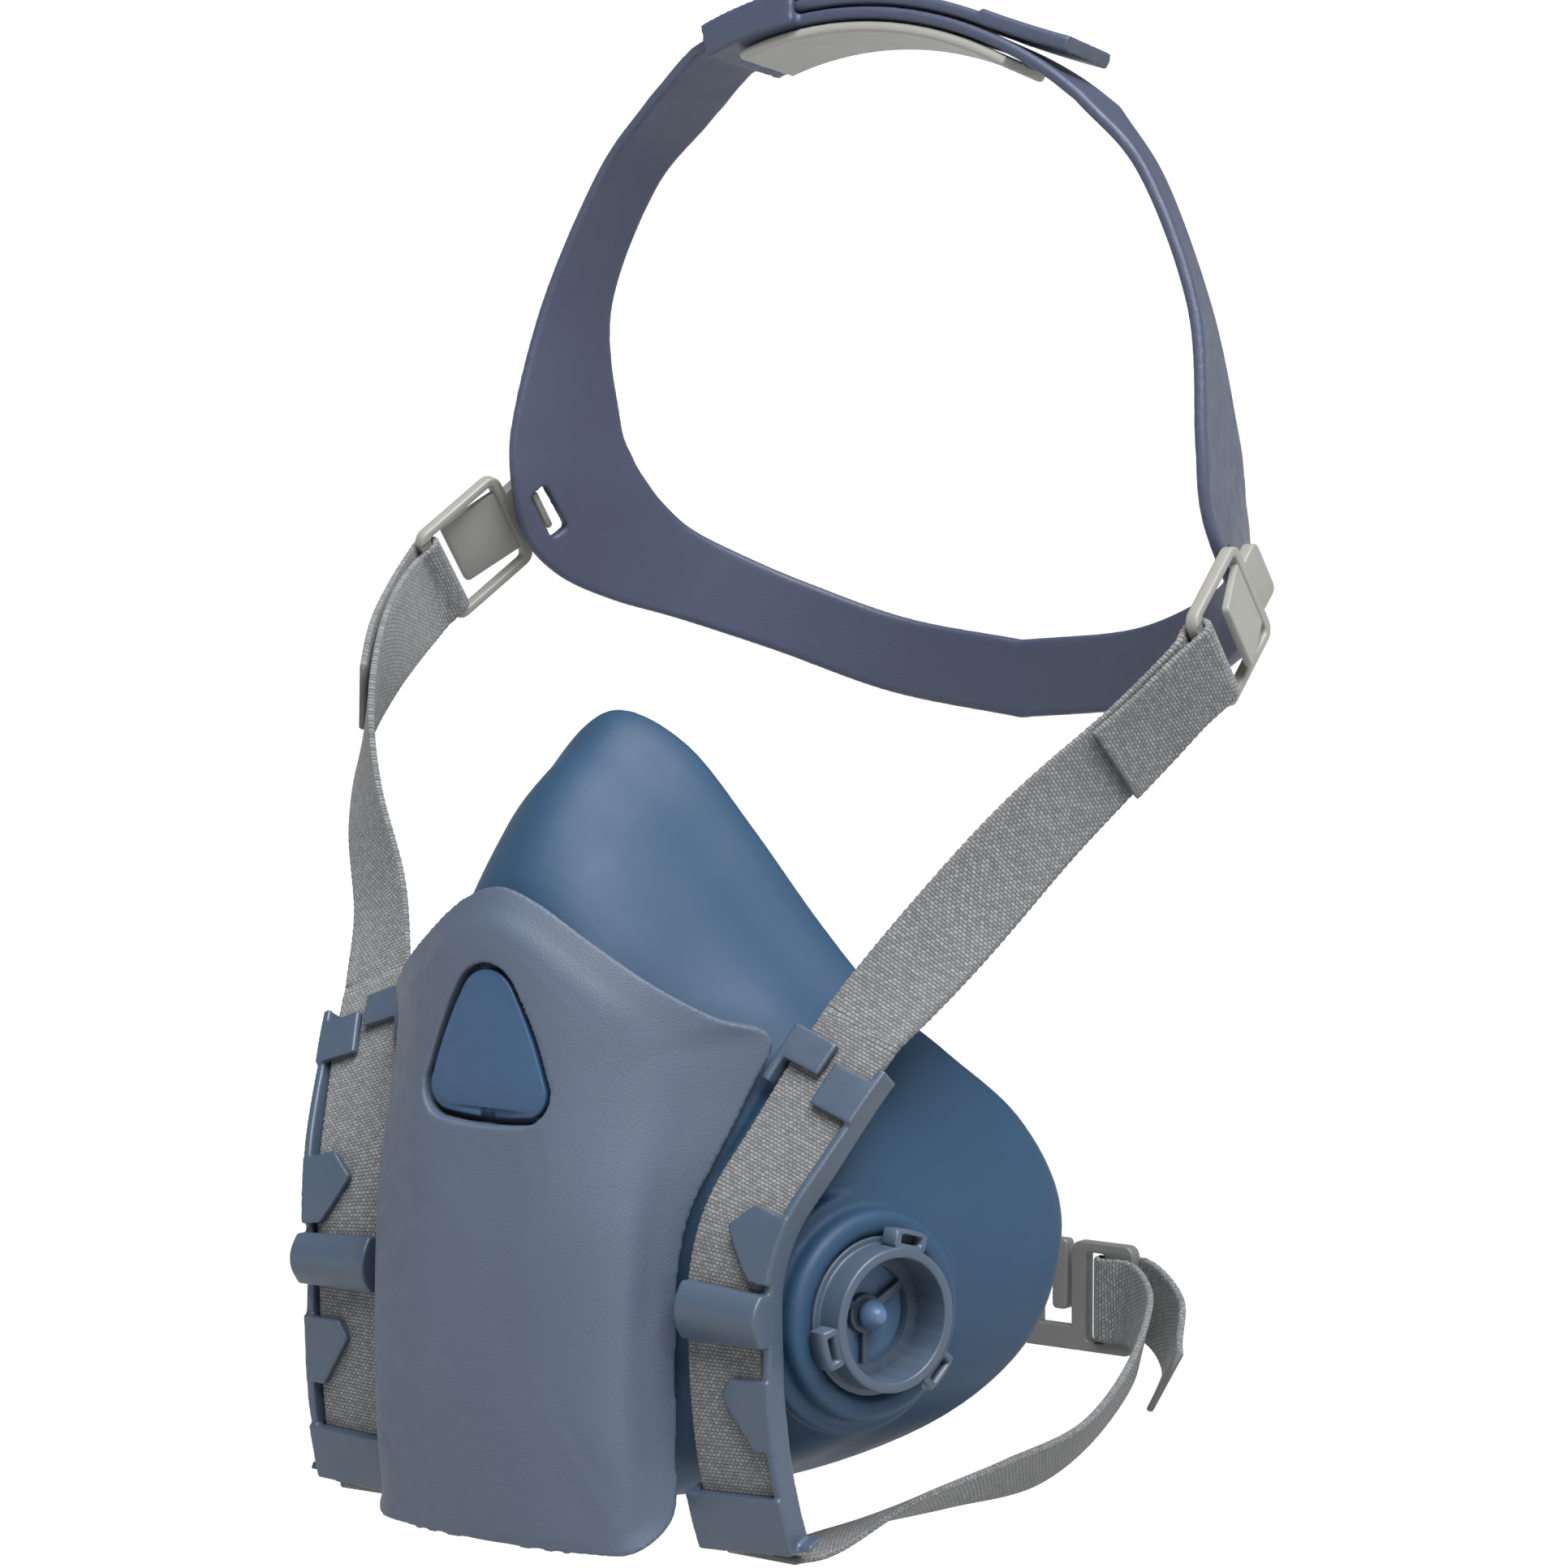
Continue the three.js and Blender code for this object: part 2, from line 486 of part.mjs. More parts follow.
// Sheet from the crown down the wearer's left side, round the corner and to the middle of the rear band:
// points on its outer and on its inner edge.
const SHEET = [
  [[60.4, 26.7, 186.2], [57, 39, 183.1]],
  [[72.2, 24.9, 162.6], [67.1, 38.3, 160.5]],
  [[76.6, 20.8, 139.5], [69.2, 43.4, 139.5]],
  [[77.4, 21.4, 127.3], [68.5, 46.3, 132.3]],
  [[78.3, 26, 117.3], [67.1, 49, 127.6]],
  [[76.7, 34.2, 110], [65.5, 52.4, 123.2]],
  [[72.2, 44.8, 105], [62.5, 57.1, 118.4]],
  [[64.3, 55.8, 101], [56.7, 63.1, 114]],
  [[50.2, 67.6, 94.9], [45.6, 70.4, 108.3]],
  [[28.6, 76.1, 87.4], [25.7, 76.7, 101.7]],
  [[0, 78.2, 83.8], [0, 78.2, 98.6]],
];
const CROWN_END = 33; // degrees where the side sheets leave the crown arc

const crownEdges = (f) => ({ a: corner(f, -BAND_W / 2, 0), b: corner(f, BAND_W / 2, 0) });

function sideSheet(n) {
  const top = crownEdges(crownFrames(CROWN_END + 3, CROWN_END + 4, 1)[0]);
  const rows = [[top.a.toArray(), top.b.toArray()], ...SHEET];
  const [outer, inner] = [0, 1].map((k) =>
    new THREE.CatmullRomCurve3(rows.map((r) => vec(r[k])), false, "catmullrom", 0.5));
  return Array.from({ length: n + 1 }, (_, i) => ({ a: outer.getPoint(i / n), b: inner.getPoint(i / n) }));
}

// A band given by pairs of points on its two edges.
function ribbon(list) {
  const middle = list.map(({ a, b }) => a.clone().add(b).divideScalar(2));
  return loft(list.map(({ a, b }, i) => {
    const t = middle[Math.min(i + 1, list.length - 1)].clone().sub(middle[Math.max(i - 1, 0)]);
    const v = t.cross(b.clone().sub(a)).normalize().multiplyScalar(BAND_T / 2);
    return [a.clone().sub(v), b.clone().sub(v), b.clone().add(v), a.clone().add(v)];
  }));
}

const KEEPER = [-24, -9.5]; // degrees on the crown arc
const STRIP_LIFT = 2.65; // the strip rides this far above the band under it

// What a buckle takes up in the sheet, and the slot for its hook.
const buckleRoom = (b) => moved(plate(rounded(-11.4, -14, 11.4, 9.6, 2), -2.1, 12).add(
  plate(rounded(-6.4, 8, 6.4, 15.6, 1.6), -2.1, 12)), b.matrix);
const hookSlot = (b) => moved(plate(rounded(-5.2, HOOK_T[0] - 1, 5.2, HOOK_T[1] + 1.4, 0.8), -14, 9),
  b.matrix);

function headCradle() {
  const e = BAND_W / 2;
  const left = sideSheet(30);
  const flip = (q) => V(-q.x, q.y, q.z);
  const right = left.slice(0, -1).reverse().map((f) => ({ a: flip(f.a), b: flip(f.b) }));
  const raised = [[-33, 0.6], [-30, 1.7], [-27, STRIP_LIFT], [-23, STRIP_LIFT]];
  const end = raised.map(([q, lift]) => crownEdges(crownFrames(q, q + 1, 1, lift)[0]));
  const box = crownFrames(...KEEPER, 4);
  let body = ribbon([...crownFrames(-21, CROWN_END - 1, 9).map(crownEdges), ...left, ...right, ...end]);
  body = body.add(strip(box, -e - 2, e + 2, -BAND_T / 2, BAND_T / 2));
  body = body.add(strip(box, -e - 2, -e - 0.5, 0, 5.4)).add(strip(box, e + 0.5, e + 2, 0, 5.4));
  body = body.add(strip(box, -e - 2, e + 2, 4.2, 5.4));
  for (const room of [buckleRoom, hookSlot]) {
    body = body.subtract(room(LEFT_BUCKLE)).subtract(mirrored(room(RIGHT_BUCKLE)));
  }
  return body;
}

function crownStrip() {
  const flat = band(crownFrames(-13.5, 20, 9, STRIP_LIFT));
  const tab = crownFrames(18, 31, 5)
    .map((f, i) => ({ ...f, p: f.p.clone().addScaledVector(f.v, STRIP_LIFT + 0.12 * i * i) }));
  return flat.add(strip(frames(tab), -BAND_W / 2, BAND_W / 2, -BAND_T / 2, 1.8));
}

const crownPad = () => strip(crownFrames(-20, 24, 10, -2.5), -7.6, 7.6, -1, 1);

// ---- neck straps and clasp ----------------------------------------------------------------------
const CLASP_Y = 88;
const CLASP_Z = -27;
const NECK_OFF = 2.6; // strap layers this far from the middle of the clasp

function neckStrap() {
  const near = CLASP_Y - NECK_OFF;
  const far = CLASP_Y + NECK_OFF;
  const line = along(
    [[42.7, -59.2, -45.6], [43.4, -50, -46.6], [45, -30, -44], [45, 0, -43.5], [41.5, 32, -43.6],
      [35, 60, -37.5], [27.5, 79, -30],
      [20, near, CLASP_Z], [14.6, near, CLASP_Z]],
    [[1, 0, 0], [0.99, 0, 0.12], [0.92, 0, 0.39], [0.8, 0.05, 0.6], [0.62, 0.1, 0.78], [0.4, 0.1, 0.92],
      [0.2, 0, 0.98], [0, 0, 1],
      [0, 0, 1]], 22);
  const turn = [];
  for (let a = -72; a <= 72; a += 24) {
    turn.push({ p: V(14.2 - NECK_OFF * Math.cos(rad(a)), CLASP_Y + NECK_OFF * Math.sin(rad(a)), CLASP_Z),
      w: V(0, 0, 1) });
  }
  const tail = along([[14.6, far, CLASP_Z], [20, far + 0.2, CLASP_Z], [31, 84, -31.5], [36.5, 73, -38]],
    [[0, 0, 1], [0, 0, 1], [0.2, 0, 0.98], [0.4, 0.1, 0.92]], 8);
  return webbing(frames([...line, ...turn, ...tail]));
}

const CLASP = place([1, 0, 0], [0, 0, 1], [0, -1, 0], [0, CLASP_Y, CLASP_Z]);

// Flat half with a hook that opens upwards; the other half is the same piece turned half round.
function claspHalf() {
  const frame = plate(rounded(6, -10.6, 20, 10.6, 2), -1.4, 1.4,
    [rounded(9.4, -8.6, 13.6, 8.6, 0.8).reverse()]);
  const arm = plate(rounded(-5, -10.6, 8, -6, 1), -1.4, 1.4);
  const tip = plate(rounded(-5, -10.6, -1.6, 3, 1), -1.4, 1.4);
  return frame.add(arm).add(tip);
}

// ---- materials ----------------------------------------------------------------------------------
const paint = (color, roughness, metalness = 0) => new THREE.MeshStandardMaterial({ color, roughness,
  metalness });
const silicone = paint(0x48627f, 0.42);
const cover = paint(0x6f7c8d, 0.6);
const hard = paint(0x64748a, 0.5);
const flap = paint(0x5f7fa3, 0.4);
const badgeBlue = paint(0x46627f, 0.5);
const knit = paint(0x8c8d8f, 0.95);
const cradleBlue = paint(0x566178, 0.5);
const pale = paint(0xb3b3ae, 0.45);
const claspGrey = paint(0x6d6f72, 0.5);
const padGrey = paint(0xa8a8a3, 0.55);

// ---- assembly -----------------------------------------------------------------------------------
const part = new THREE.Group();
part.name = "respirator";

function add(name, body, material) {
  const m = body.simplify(0.05).getMesh();
  const g = new THREE.BufferGeometry();
  g.setAttribute("position", new THREE.BufferAttribute(new Float32Array(m.vertProperties), 3));
  g.setIndex(new THREE.BufferAttribute(new Uint32Array(m.triVerts), 1));
  g.computeVertexNormals();
  const mesh = new THREE.Mesh(g, material);
  mesh.name = name;
  part.add(mesh);
}

function pair(name, body, material) {
  add("left_" + name, body, material);
  add("right_" + name, mirrored(body), material);
}

const room = railRoom();
const boss = moved(portBoss, PORT);
const bore = moved(portHole, PORT);
let mask = facepiece();
for (const side of [(s) => s,
  mirrored]) mask = mask.add(side(boss)).subtract(side(bore)).subtract(side(room));
add("facepiece", mask, silicone);
add("centre_cover", centreCover(), cover);
add("size_badge", badge(), badgeBlue);
add("exhalation_seat", valveSeat(), hard);
add("exhalation_valve", exhaleValve(), flap);
pair("port", bayonet(), hard);
pair("port_retainer", retainer(), hard);
pair("inhalation_valve", inhaleValve(), flap);
pair("strap_rail", strapRail(), hard);
pair("rail_strap", railStrap(), knit);
add("left_upper_strap", upperStrap(LEFT_BUCKLE, FREE, FREE_W), knit);
add("right_upper_strap", mirrored(upperStrap(RIGHT_BUCKLE, SLACK, SLACK_W)), knit);
add("left_cradle_buckle", buckle(LEFT_BUCKLE), pale);
add("right_cradle_buckle", mirrored(buckle(RIGHT_BUCKLE)), pale);
pair("neck_strap", neckStrap(), knit);

add("head_cradle", headCradle(), cradleBlue);
add("crown_strip", crownStrip(), cradleBlue);
add("crown_pad", crownPad(), padGrey);
add("left_clasp_half", moved(claspHalf(), CLASP), claspGrey);
add("right_clasp_half", moved(moved(claspHalf(), new THREE.Matrix4().makeRotationZ(Math.PI)), CLASP),
  claspGrey);

export default part;
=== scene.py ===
"""Half-face respirator: the looks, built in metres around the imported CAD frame.

Control points below are in millimetres, as in the CAD source, and are scaled once, in piece().
"""
import math

import bmesh
import bpy
import numpy as np
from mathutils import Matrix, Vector


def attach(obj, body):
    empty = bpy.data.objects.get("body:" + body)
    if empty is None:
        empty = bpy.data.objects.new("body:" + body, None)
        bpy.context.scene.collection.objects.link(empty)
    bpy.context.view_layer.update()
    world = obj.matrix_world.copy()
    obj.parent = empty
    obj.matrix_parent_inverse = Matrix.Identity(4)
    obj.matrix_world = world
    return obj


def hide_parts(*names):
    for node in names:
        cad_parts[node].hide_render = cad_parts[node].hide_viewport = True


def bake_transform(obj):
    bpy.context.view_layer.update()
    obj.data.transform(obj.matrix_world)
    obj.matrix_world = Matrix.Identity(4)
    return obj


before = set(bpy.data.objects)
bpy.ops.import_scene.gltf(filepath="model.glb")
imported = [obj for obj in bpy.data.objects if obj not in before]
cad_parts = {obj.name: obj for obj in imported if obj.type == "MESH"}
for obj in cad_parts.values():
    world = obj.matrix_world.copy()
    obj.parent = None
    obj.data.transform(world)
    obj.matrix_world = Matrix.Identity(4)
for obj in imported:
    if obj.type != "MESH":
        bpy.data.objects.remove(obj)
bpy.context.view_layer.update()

MM = 0.001

# ---- camera, floor and light --------------------------------------------------------------------
VIEW_AZ = math.radians(37)
VIEW_EL = math.radians(5.5)
VIEW_DISTANCE = 1.05
LOOK_AT = Vector((0, 0.0036, 0.077))
FOCAL_MM = 135.0
FLOOR_Z = -0.19
FLOOR_HALF = 40.0
FLOOR_GREY = 0.5
WORLD_STRENGTH = 1.15
WORLD_TOP = 0.14          # the studio overhead against its brightness at table height
HORIZON = (0.06, 0.2)     # heights between which it dims
KEY_FROM = (0.5, -0.35, 1.05)
KEY_STRENGTH = 7.4
KEY_DEGREES = 50          # how wide the key light looks, for soft shadows


def look(obj, target):
    obj.rotation_euler = (Vector(target) - obj.location).to_track_quat("-Z", "Y").to_euler()


def add_camera():
    data = bpy.data.cameras.new("camera")
    data.lens = FOCAL_MM
    data.sensor_width = 36
    data.clip_start = 0.05
    camera = bpy.data.objects.new("camera", data)
    bpy.context.scene.collection.objects.link(camera)
    level = math.cos(VIEW_EL)
    away = Vector((math.sin(VIEW_AZ) * level, -math.cos(VIEW_AZ) * level, math.sin(VIEW_EL)))
    camera.location = LOOK_AT + VIEW_DISTANCE * away
    look(camera, LOOK_AT)
    bpy.context.scene.camera = camera


def add_sun(name, direction, strength, degrees):
    data = bpy.data.lights.new(name, "SUN")
    data.energy = strength
    data.angle = math.radians(degrees)
    lamp = bpy.data.objects.new(name, data)
    bpy.context.scene.collection.objects.link(lamp)
    lamp.location = Vector(direction)
    look(lamp, (0, 0, 0))


def add_world():
    """A pale studio: bright all round at the height of the table, dimmer overhead."""
    world = bpy.data.worlds.new("studio")
    bpy.context.scene.world = world
    world.use_nodes = True
    tree = world.node_tree
    back = tree.nodes["Background"]
    at = tree.nodes.new("ShaderNodeTexCoord")
    split = tree.nodes.new("ShaderNodeSeparateXYZ")
    ramp = tree.nodes.new("ShaderNodeValToRGB")
    tree.links.new(at.outputs["Generated"], split.inputs[0])
    tree.links.new(split.outputs["Z"], ramp.inputs["Fac"])
    tree.links.new(ramp.outputs["Color"], back.inputs["Color"])
    low, high = ramp.color_ramp.elements
    low.position, high.position = HORIZON
    low.color = (1, 1, 1, 1)
    high.color = (WORLD_TOP, WORLD_TOP, WORLD_TOP, 1)
    back.inputs["Strength"].default_value = WORLD_STRENGTH


def add_stage():
    add_world()
    mesh = bpy.data.meshes.new("floor")
    r = FLOOR_HALF
    mesh.from_pydata([(-r, -r, FLOOR_Z), (r, -r, FLOOR_Z), (r, r, FLOOR_Z), (-r, r, FLOOR_Z)],
                     [], [(0, 1, 2, 3)])
    floor = bpy.data.objects.new("floor", mesh)
    bpy.context.scene.collection.objects.link(floor)
    m = bpy.data.materials.new("floor")
    m.use_nodes = True
    shader = m.node_tree.nodes["Principled BSDF"]
    shader.inputs["Base Color"].default_value = (FLOOR_GREY, FLOOR_GREY, FLOOR_GREY, 1)
    shader.inputs["Roughness"].default_value = 0.95
    shader.inputs["Specular IOR Level"].default_value = 0.1
    mesh.materials.append(m)
    add_sun("key", KEY_FROM, KEY_STRENGTH, KEY_DEGREES)
    bpy.context.scene.view_settings.view_transform = "Standard"


# ---- vector helpers, in millimetres --------------------------------------------------------------
def unit(a):
    a = np.asarray(a, float)
    return a / np.maximum(np.linalg.norm(a, axis=-1, keepdims=True), 1e-12)


def spline(points, ts, closed=False, uniform=False):
    """Catmull-Rom points at the parameters ts, counted in spans; centripetal unless uniform."""
    p = np.asarray(points, float)
    m = len(p)
    spans = m if closed else m - 1
    if closed:
        q = np.vstack([p[-1], p, p[0], p[1]])
    else:
        q = np.vstack([2 * p[0] - p[1], p, 2 * p[-1] - p[-2]])
    ts = np.asarray(ts, float)
    k = np.clip(ts.astype(int), 0, spans - 1)
    f = (ts - k)[:, None]
    p0, p1, p2, p3 = q[k], q[k + 1], q[k + 2], q[k + 3]
    if uniform:
        m1, m2 = (p2 - p0) / 2, (p3 - p1) / 2
    else:
        d0, d1, d2 = (np.sqrt(np.linalg.norm(b - a, axis=1, keepdims=True)) + 1e-6
                      for a, b in ((p0, p1), (p1, p2), (p2, p3)))
        m1 = ((p1 - p0) / d0 - (p2 - p0) / (d0 + d1) + (p2 - p1) / d1) * d1
        m2 = ((p2 - p1) / d1 - (p3 - p1) / (d1 + d2) + (p3 - p2) / d2) * d1
    cubic = 2 * p1 - 2 * p2 + m1 + m2
    square = 3 * p2 - 3 * p1 - 2 * m1 - m2
    return cubic * f**3 + square * f**2 + m1 * f + p1


def both(half):
    """A closed ring from its half on the wearer's left."""
    h = np.asarray(half, float)
    return np.vstack([h, h[1:-1][::-1] * [-1, 1, 1]])


def mix(a, b, t):
    return np.asarray(a, float) * (1 - t) + np.asarray(b, float) * t


def surface(rings, around, steps):
    """Rings resampled around, and along to the given number of steps between each pair."""
    count = len(rings[0])
    ts = np.arange(around) * count / around
    dense = np.array([spline(r, ts, closed=True, uniform=True) for r in rings])
    params = np.concatenate([k + np.arange(s) / s for k, s in enumerate(steps)] + [[len(rings) - 1]])
    return np.stack([spline(dense[:, i], params) for i in range(around)], 1)


def offset(grid, distance):
    along = np.empty_like(grid)
    along[1:-1] = grid[2:] - grid[:-2]
    along[0] = grid[1] - grid[0]
    along[-1] = grid[-1] - grid[-2]
    around = np.roll(grid, -1, 1) - np.roll(grid, 1, 1)
    return grid + distance * unit(np.cross(along, around))


def loft(grid, joined=False):
    """Vertices and faces of a closed body through rings: ends capped, or the last joined to the first."""
    rows, n = grid.shape[:2]
    verts = grid.reshape(-1, 3)
    faces = []
    for r in range(rows if joined else rows - 1):
        a, b = r * n, ((r + 1) % rows) * n
        for i in range(n):
            j = (i + 1) % n
            faces.append((a + i, b + i, b + j, a + j))
    if not joined:
        faces.append(tuple(range(n)))
        faces.append(tuple((rows - 1) * n + i for i in reversed(range(n))))
    return verts, faces


def turned(profile, n, where):
    """A closed profile of (radius, height) turned about the z axis of the placing matrix."""
    p = np.asarray(profile, float)
    a = 2 * np.pi * np.arange(n) / n
    x, y = np.outer(p[:, 0], np.cos(a)), np.outer(p[:, 0], np.sin(a))
    ring = np.stack([x, y, np.repeat(p[:, 1:2], n, 1)], 2)
    grid = moved(ring.reshape(-1, 3), where).reshape(ring.shape)
    open_middle = bool((p[:, 0] >= 1e-9).all())
    return loft(grid, joined=open_middle)


def moved(points, where):
    m = np.array(where)
    return np.asarray(points) @ m[:3, :3].T + m[:3, 3]


def place(x, y, z, at):
    m = np.eye(4)
    m[:3, 0], m[:3, 1], m[:3, 2], m[:3, 3] = x, y, z, at
    return m


def spun(where, degrees):
    m = np.eye(4)
    c, s = math.cos(math.radians(degrees)), math.sin(math.radians(degrees))
    m[:2, :2] = [[c, -s], [s, c]]
    return where @ m


class Line:
    """Frames along a strap or band: points p, tangents t, width directions w and outward normals v."""

    def __init__(self, points, widths):
        self.p = np.asarray(points, float)
        t = np.empty_like(self.p)
        t[1:-1] = self.p[2:] - self.p[:-2]
        t[0] = self.p[1] - self.p[0]
        t[-1] = self.p[-1] - self.p[-2]
        self.t = unit(t)
        w = np.asarray(widths, float)
        self.w = unit(w - self.t * np.sum(w * self.t, 1, keepdims=True))
        self.v = np.cross(self.t, self.w)
        self.s = np.concatenate([[0], np.cumsum(np.linalg.norm(np.diff(self.p, axis=0), axis=1))])

    def at(self, u, v):
        """Points at width u and height v, each a number or one value per frame."""
        u = np.broadcast_to(np.asarray(u, float), (len(self.p),))[:, None]
        v = np.broadcast_to(np.asarray(v, float), (len(self.p),))[:, None]
        return self.p + u * self.w + v * self.v


def path(points, widths, n, start=0.0, end=1.0):
    """Points and width directions along a route, from start to end of it."""
    ts = np.linspace(start, end, n) * (len(points) - 1)
    return spline(points, ts), unit(spline(widths, ts, uniform=True))


def curve(points, widths, n, start=0.0, end=1.0):
    return Line(*path(points, widths, n, start, end))


def strip(line, u0, u1, v0, v1, rounding=0.0):
    """A bar of rectangular section along a line; a side may be a number or one value per frame."""
    if rounding:
        r = rounding
        grid = []
        for cu, cv, a in ((1, 0, -90), (1, 1, 0), (0, 1, 90), (0, 0, 180)):
            for k in range(4):
                q = math.radians(a + 30 * k)
                cu_ = (np.asarray(u1, float) - r) if cu else (np.asarray(u0, float) + r)
                cv_ = (np.asarray(v1, float) - r) if cv else (np.asarray(v0, float) + r)
                grid.append(line.at(cu_ + r * math.cos(q), cv_ + r * math.sin(q)))
        grid = np.array(grid)
    else:
        grid = np.array([line.at(u0, v0), line.at(u1, v0), line.at(u1, v1), line.at(u0, v1)])
    return loft(np.transpose(grid, (1, 0, 2)))


def mirrored(shape):
    verts, faces = shape
    return np.asarray(verts) * [-1, 1, 1], [tuple(reversed(f)) for f in faces]


# ---- objects -------------------------------------------------------------------------------------
def piece(name, shape):
    """A smooth Blender mesh object from a shape given in millimetres."""
    verts, faces = shape
    mesh = bpy.data.meshes.new(name)
    mesh.from_pydata([tuple(v) for v in np.asarray(verts, float) * MM], [], faces)
    mesh.validate()
    bm = bmesh.new()
    bm.from_mesh(mesh)
    bmesh.ops.remove_doubles(bm, verts=bm.verts, dist=1e-7)
    bmesh.ops.recalc_face_normals(bm, faces=bm.faces)
    bm.to_mesh(mesh)
    bm.free()
    obj = bpy.data.objects.new(name, mesh)
    bpy.context.scene.collection.objects.link(obj)
    mesh.shade_smooth()
    return obj


def applied(obj):
    """The object with its modifiers made real."""
    deps = bpy.context.evaluated_depsgraph_get()
    mesh = bpy.data.meshes.new_from_object(obj.evaluated_get(deps))
    obj.modifiers.clear()
    old = obj.data
    obj.data = mesh
    mesh.name = obj.name
    bpy.data.meshes.remove(old)
    return obj


def combine(obj, tool, operation):
    """Joins the object with the tool, cuts it by it or cuts it down to it; the tool is removed."""
    m = obj.modifiers.new("combine", "BOOLEAN")
    m.operation = operation
    m.solver = "MANIFOLD"
    m.object = tool
    applied(obj)
    bpy.data.objects.remove(tool)


def combined(obj, shapes, operation):
    for shape in shapes:
        combine(obj, piece("tool", shape), operation)
    return obj


def softened(obj, voxel, smoothing, keep):
    """The object with one new skin and softened edges, thinned to the kept share of its faces."""
    m = obj.modifiers.new("skin", "REMESH")
    m.mode = "VOXEL"
    m.voxel_size = voxel * MM * 1.0
    s = obj.modifiers.new("soft", "SMOOTH")
    s.factor = 0.5
    s.iterations = smoothing
    if keep < 1:
        obj.modifiers.new("thin", "DECIMATE").ratio = keep
    applied(obj)
    obj.data.shade_smooth()
    return obj


def fused(name, shapes, voxel, smoothing=2, keep=1.0, cutters=()):
    """Closed shapes joined, cut and given one skin with softened edges, as a moulded piece has."""
    obj = piece(name, shapes[0])
    combined(obj, shapes[1:], "UNION")
    combined(obj, cutters, "DIFFERENCE")
    return softened(obj, voxel, smoothing, keep)


def joined(name, shapes, cutters=(), angle=32):
    """Closed shapes joined and cut, with crisp edges where faces meet at more than the angle."""
    obj = piece(name, shapes[0])
    combined(obj, shapes[1:], "UNION")
    combined(obj, cutters, "DIFFERENCE")
    obj.data.shade_smooth()
    obj.data.set_sharp_from_angle(angle=math.radians(angle))
    return obj


def flat_plate(outline, low, high, where, bevel=0.3, holes=()):
    """An extruded outline with rounded edges, as a shape; the outline lies in x and y of where."""
    data = bpy.data.curves.new("outline", "CURVE")
    data.dimensions = "2D"
    data.fill_mode = "BOTH"
    for ring in [outline, *holes]:
        line = data.splines.new("POLY")
        line.points.add(len(ring) - 1)
        for q, (x, y) in zip(line.points, ring):
            q.co = (x, y, 0, 1)
        line.use_cyclic_u = True
    data.offset = -bevel
    data.extrude = (high - low) / 2 - bevel
    data.bevel_depth = bevel
    data.bevel_resolution = 2
    obj = bpy.data.objects.new("outline", data)
    bpy.context.scene.collection.objects.link(obj)
    deps = bpy.context.evaluated_depsgraph_get()
    mesh = bpy.data.meshes.new_from_object(obj.evaluated_get(deps))
    verts = np.array([v.co for v in mesh.vertices], float) + [0, 0, (low + high) / 2]
    faces = [tuple(f.vertices) for f in mesh.polygons]
    bpy.data.objects.remove(obj)
    bpy.data.curves.remove(data)
    bpy.data.meshes.remove(mesh)
    return moved(verts, where), faces


def rounded(x0, y0, x1, y1, r, k=6):
    out = []
    corners = ((x1 - r, y0 + r, -90), (x1 - r, y1 - r, 0), (x0 + r, y1 - r, 90), (x0 + r, y0 + r, 180))
    for cx, cy, a in corners:
        for i in range(k + 1):
            q = math.radians(a + 90 * i / k)
            out.append((cx + r * math.cos(q), cy + r * math.sin(q)))
    return out


def finish_piece(obj, body, slot, material, *nodes):
    obj.data.materials.clear()
    obj.data.materials.append(material)
    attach(obj, body)
    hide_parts(*nodes)


# ---- materials -----------------------------------------------------------------------------------
def linear(value):
    v = value / 255
    return v / 12.92 if v <= 0.04045 else ((v + 0.055) / 1.055) ** 2.4


def srgb(r, g, b):
    return linear(r), linear(g), linear(b), 1


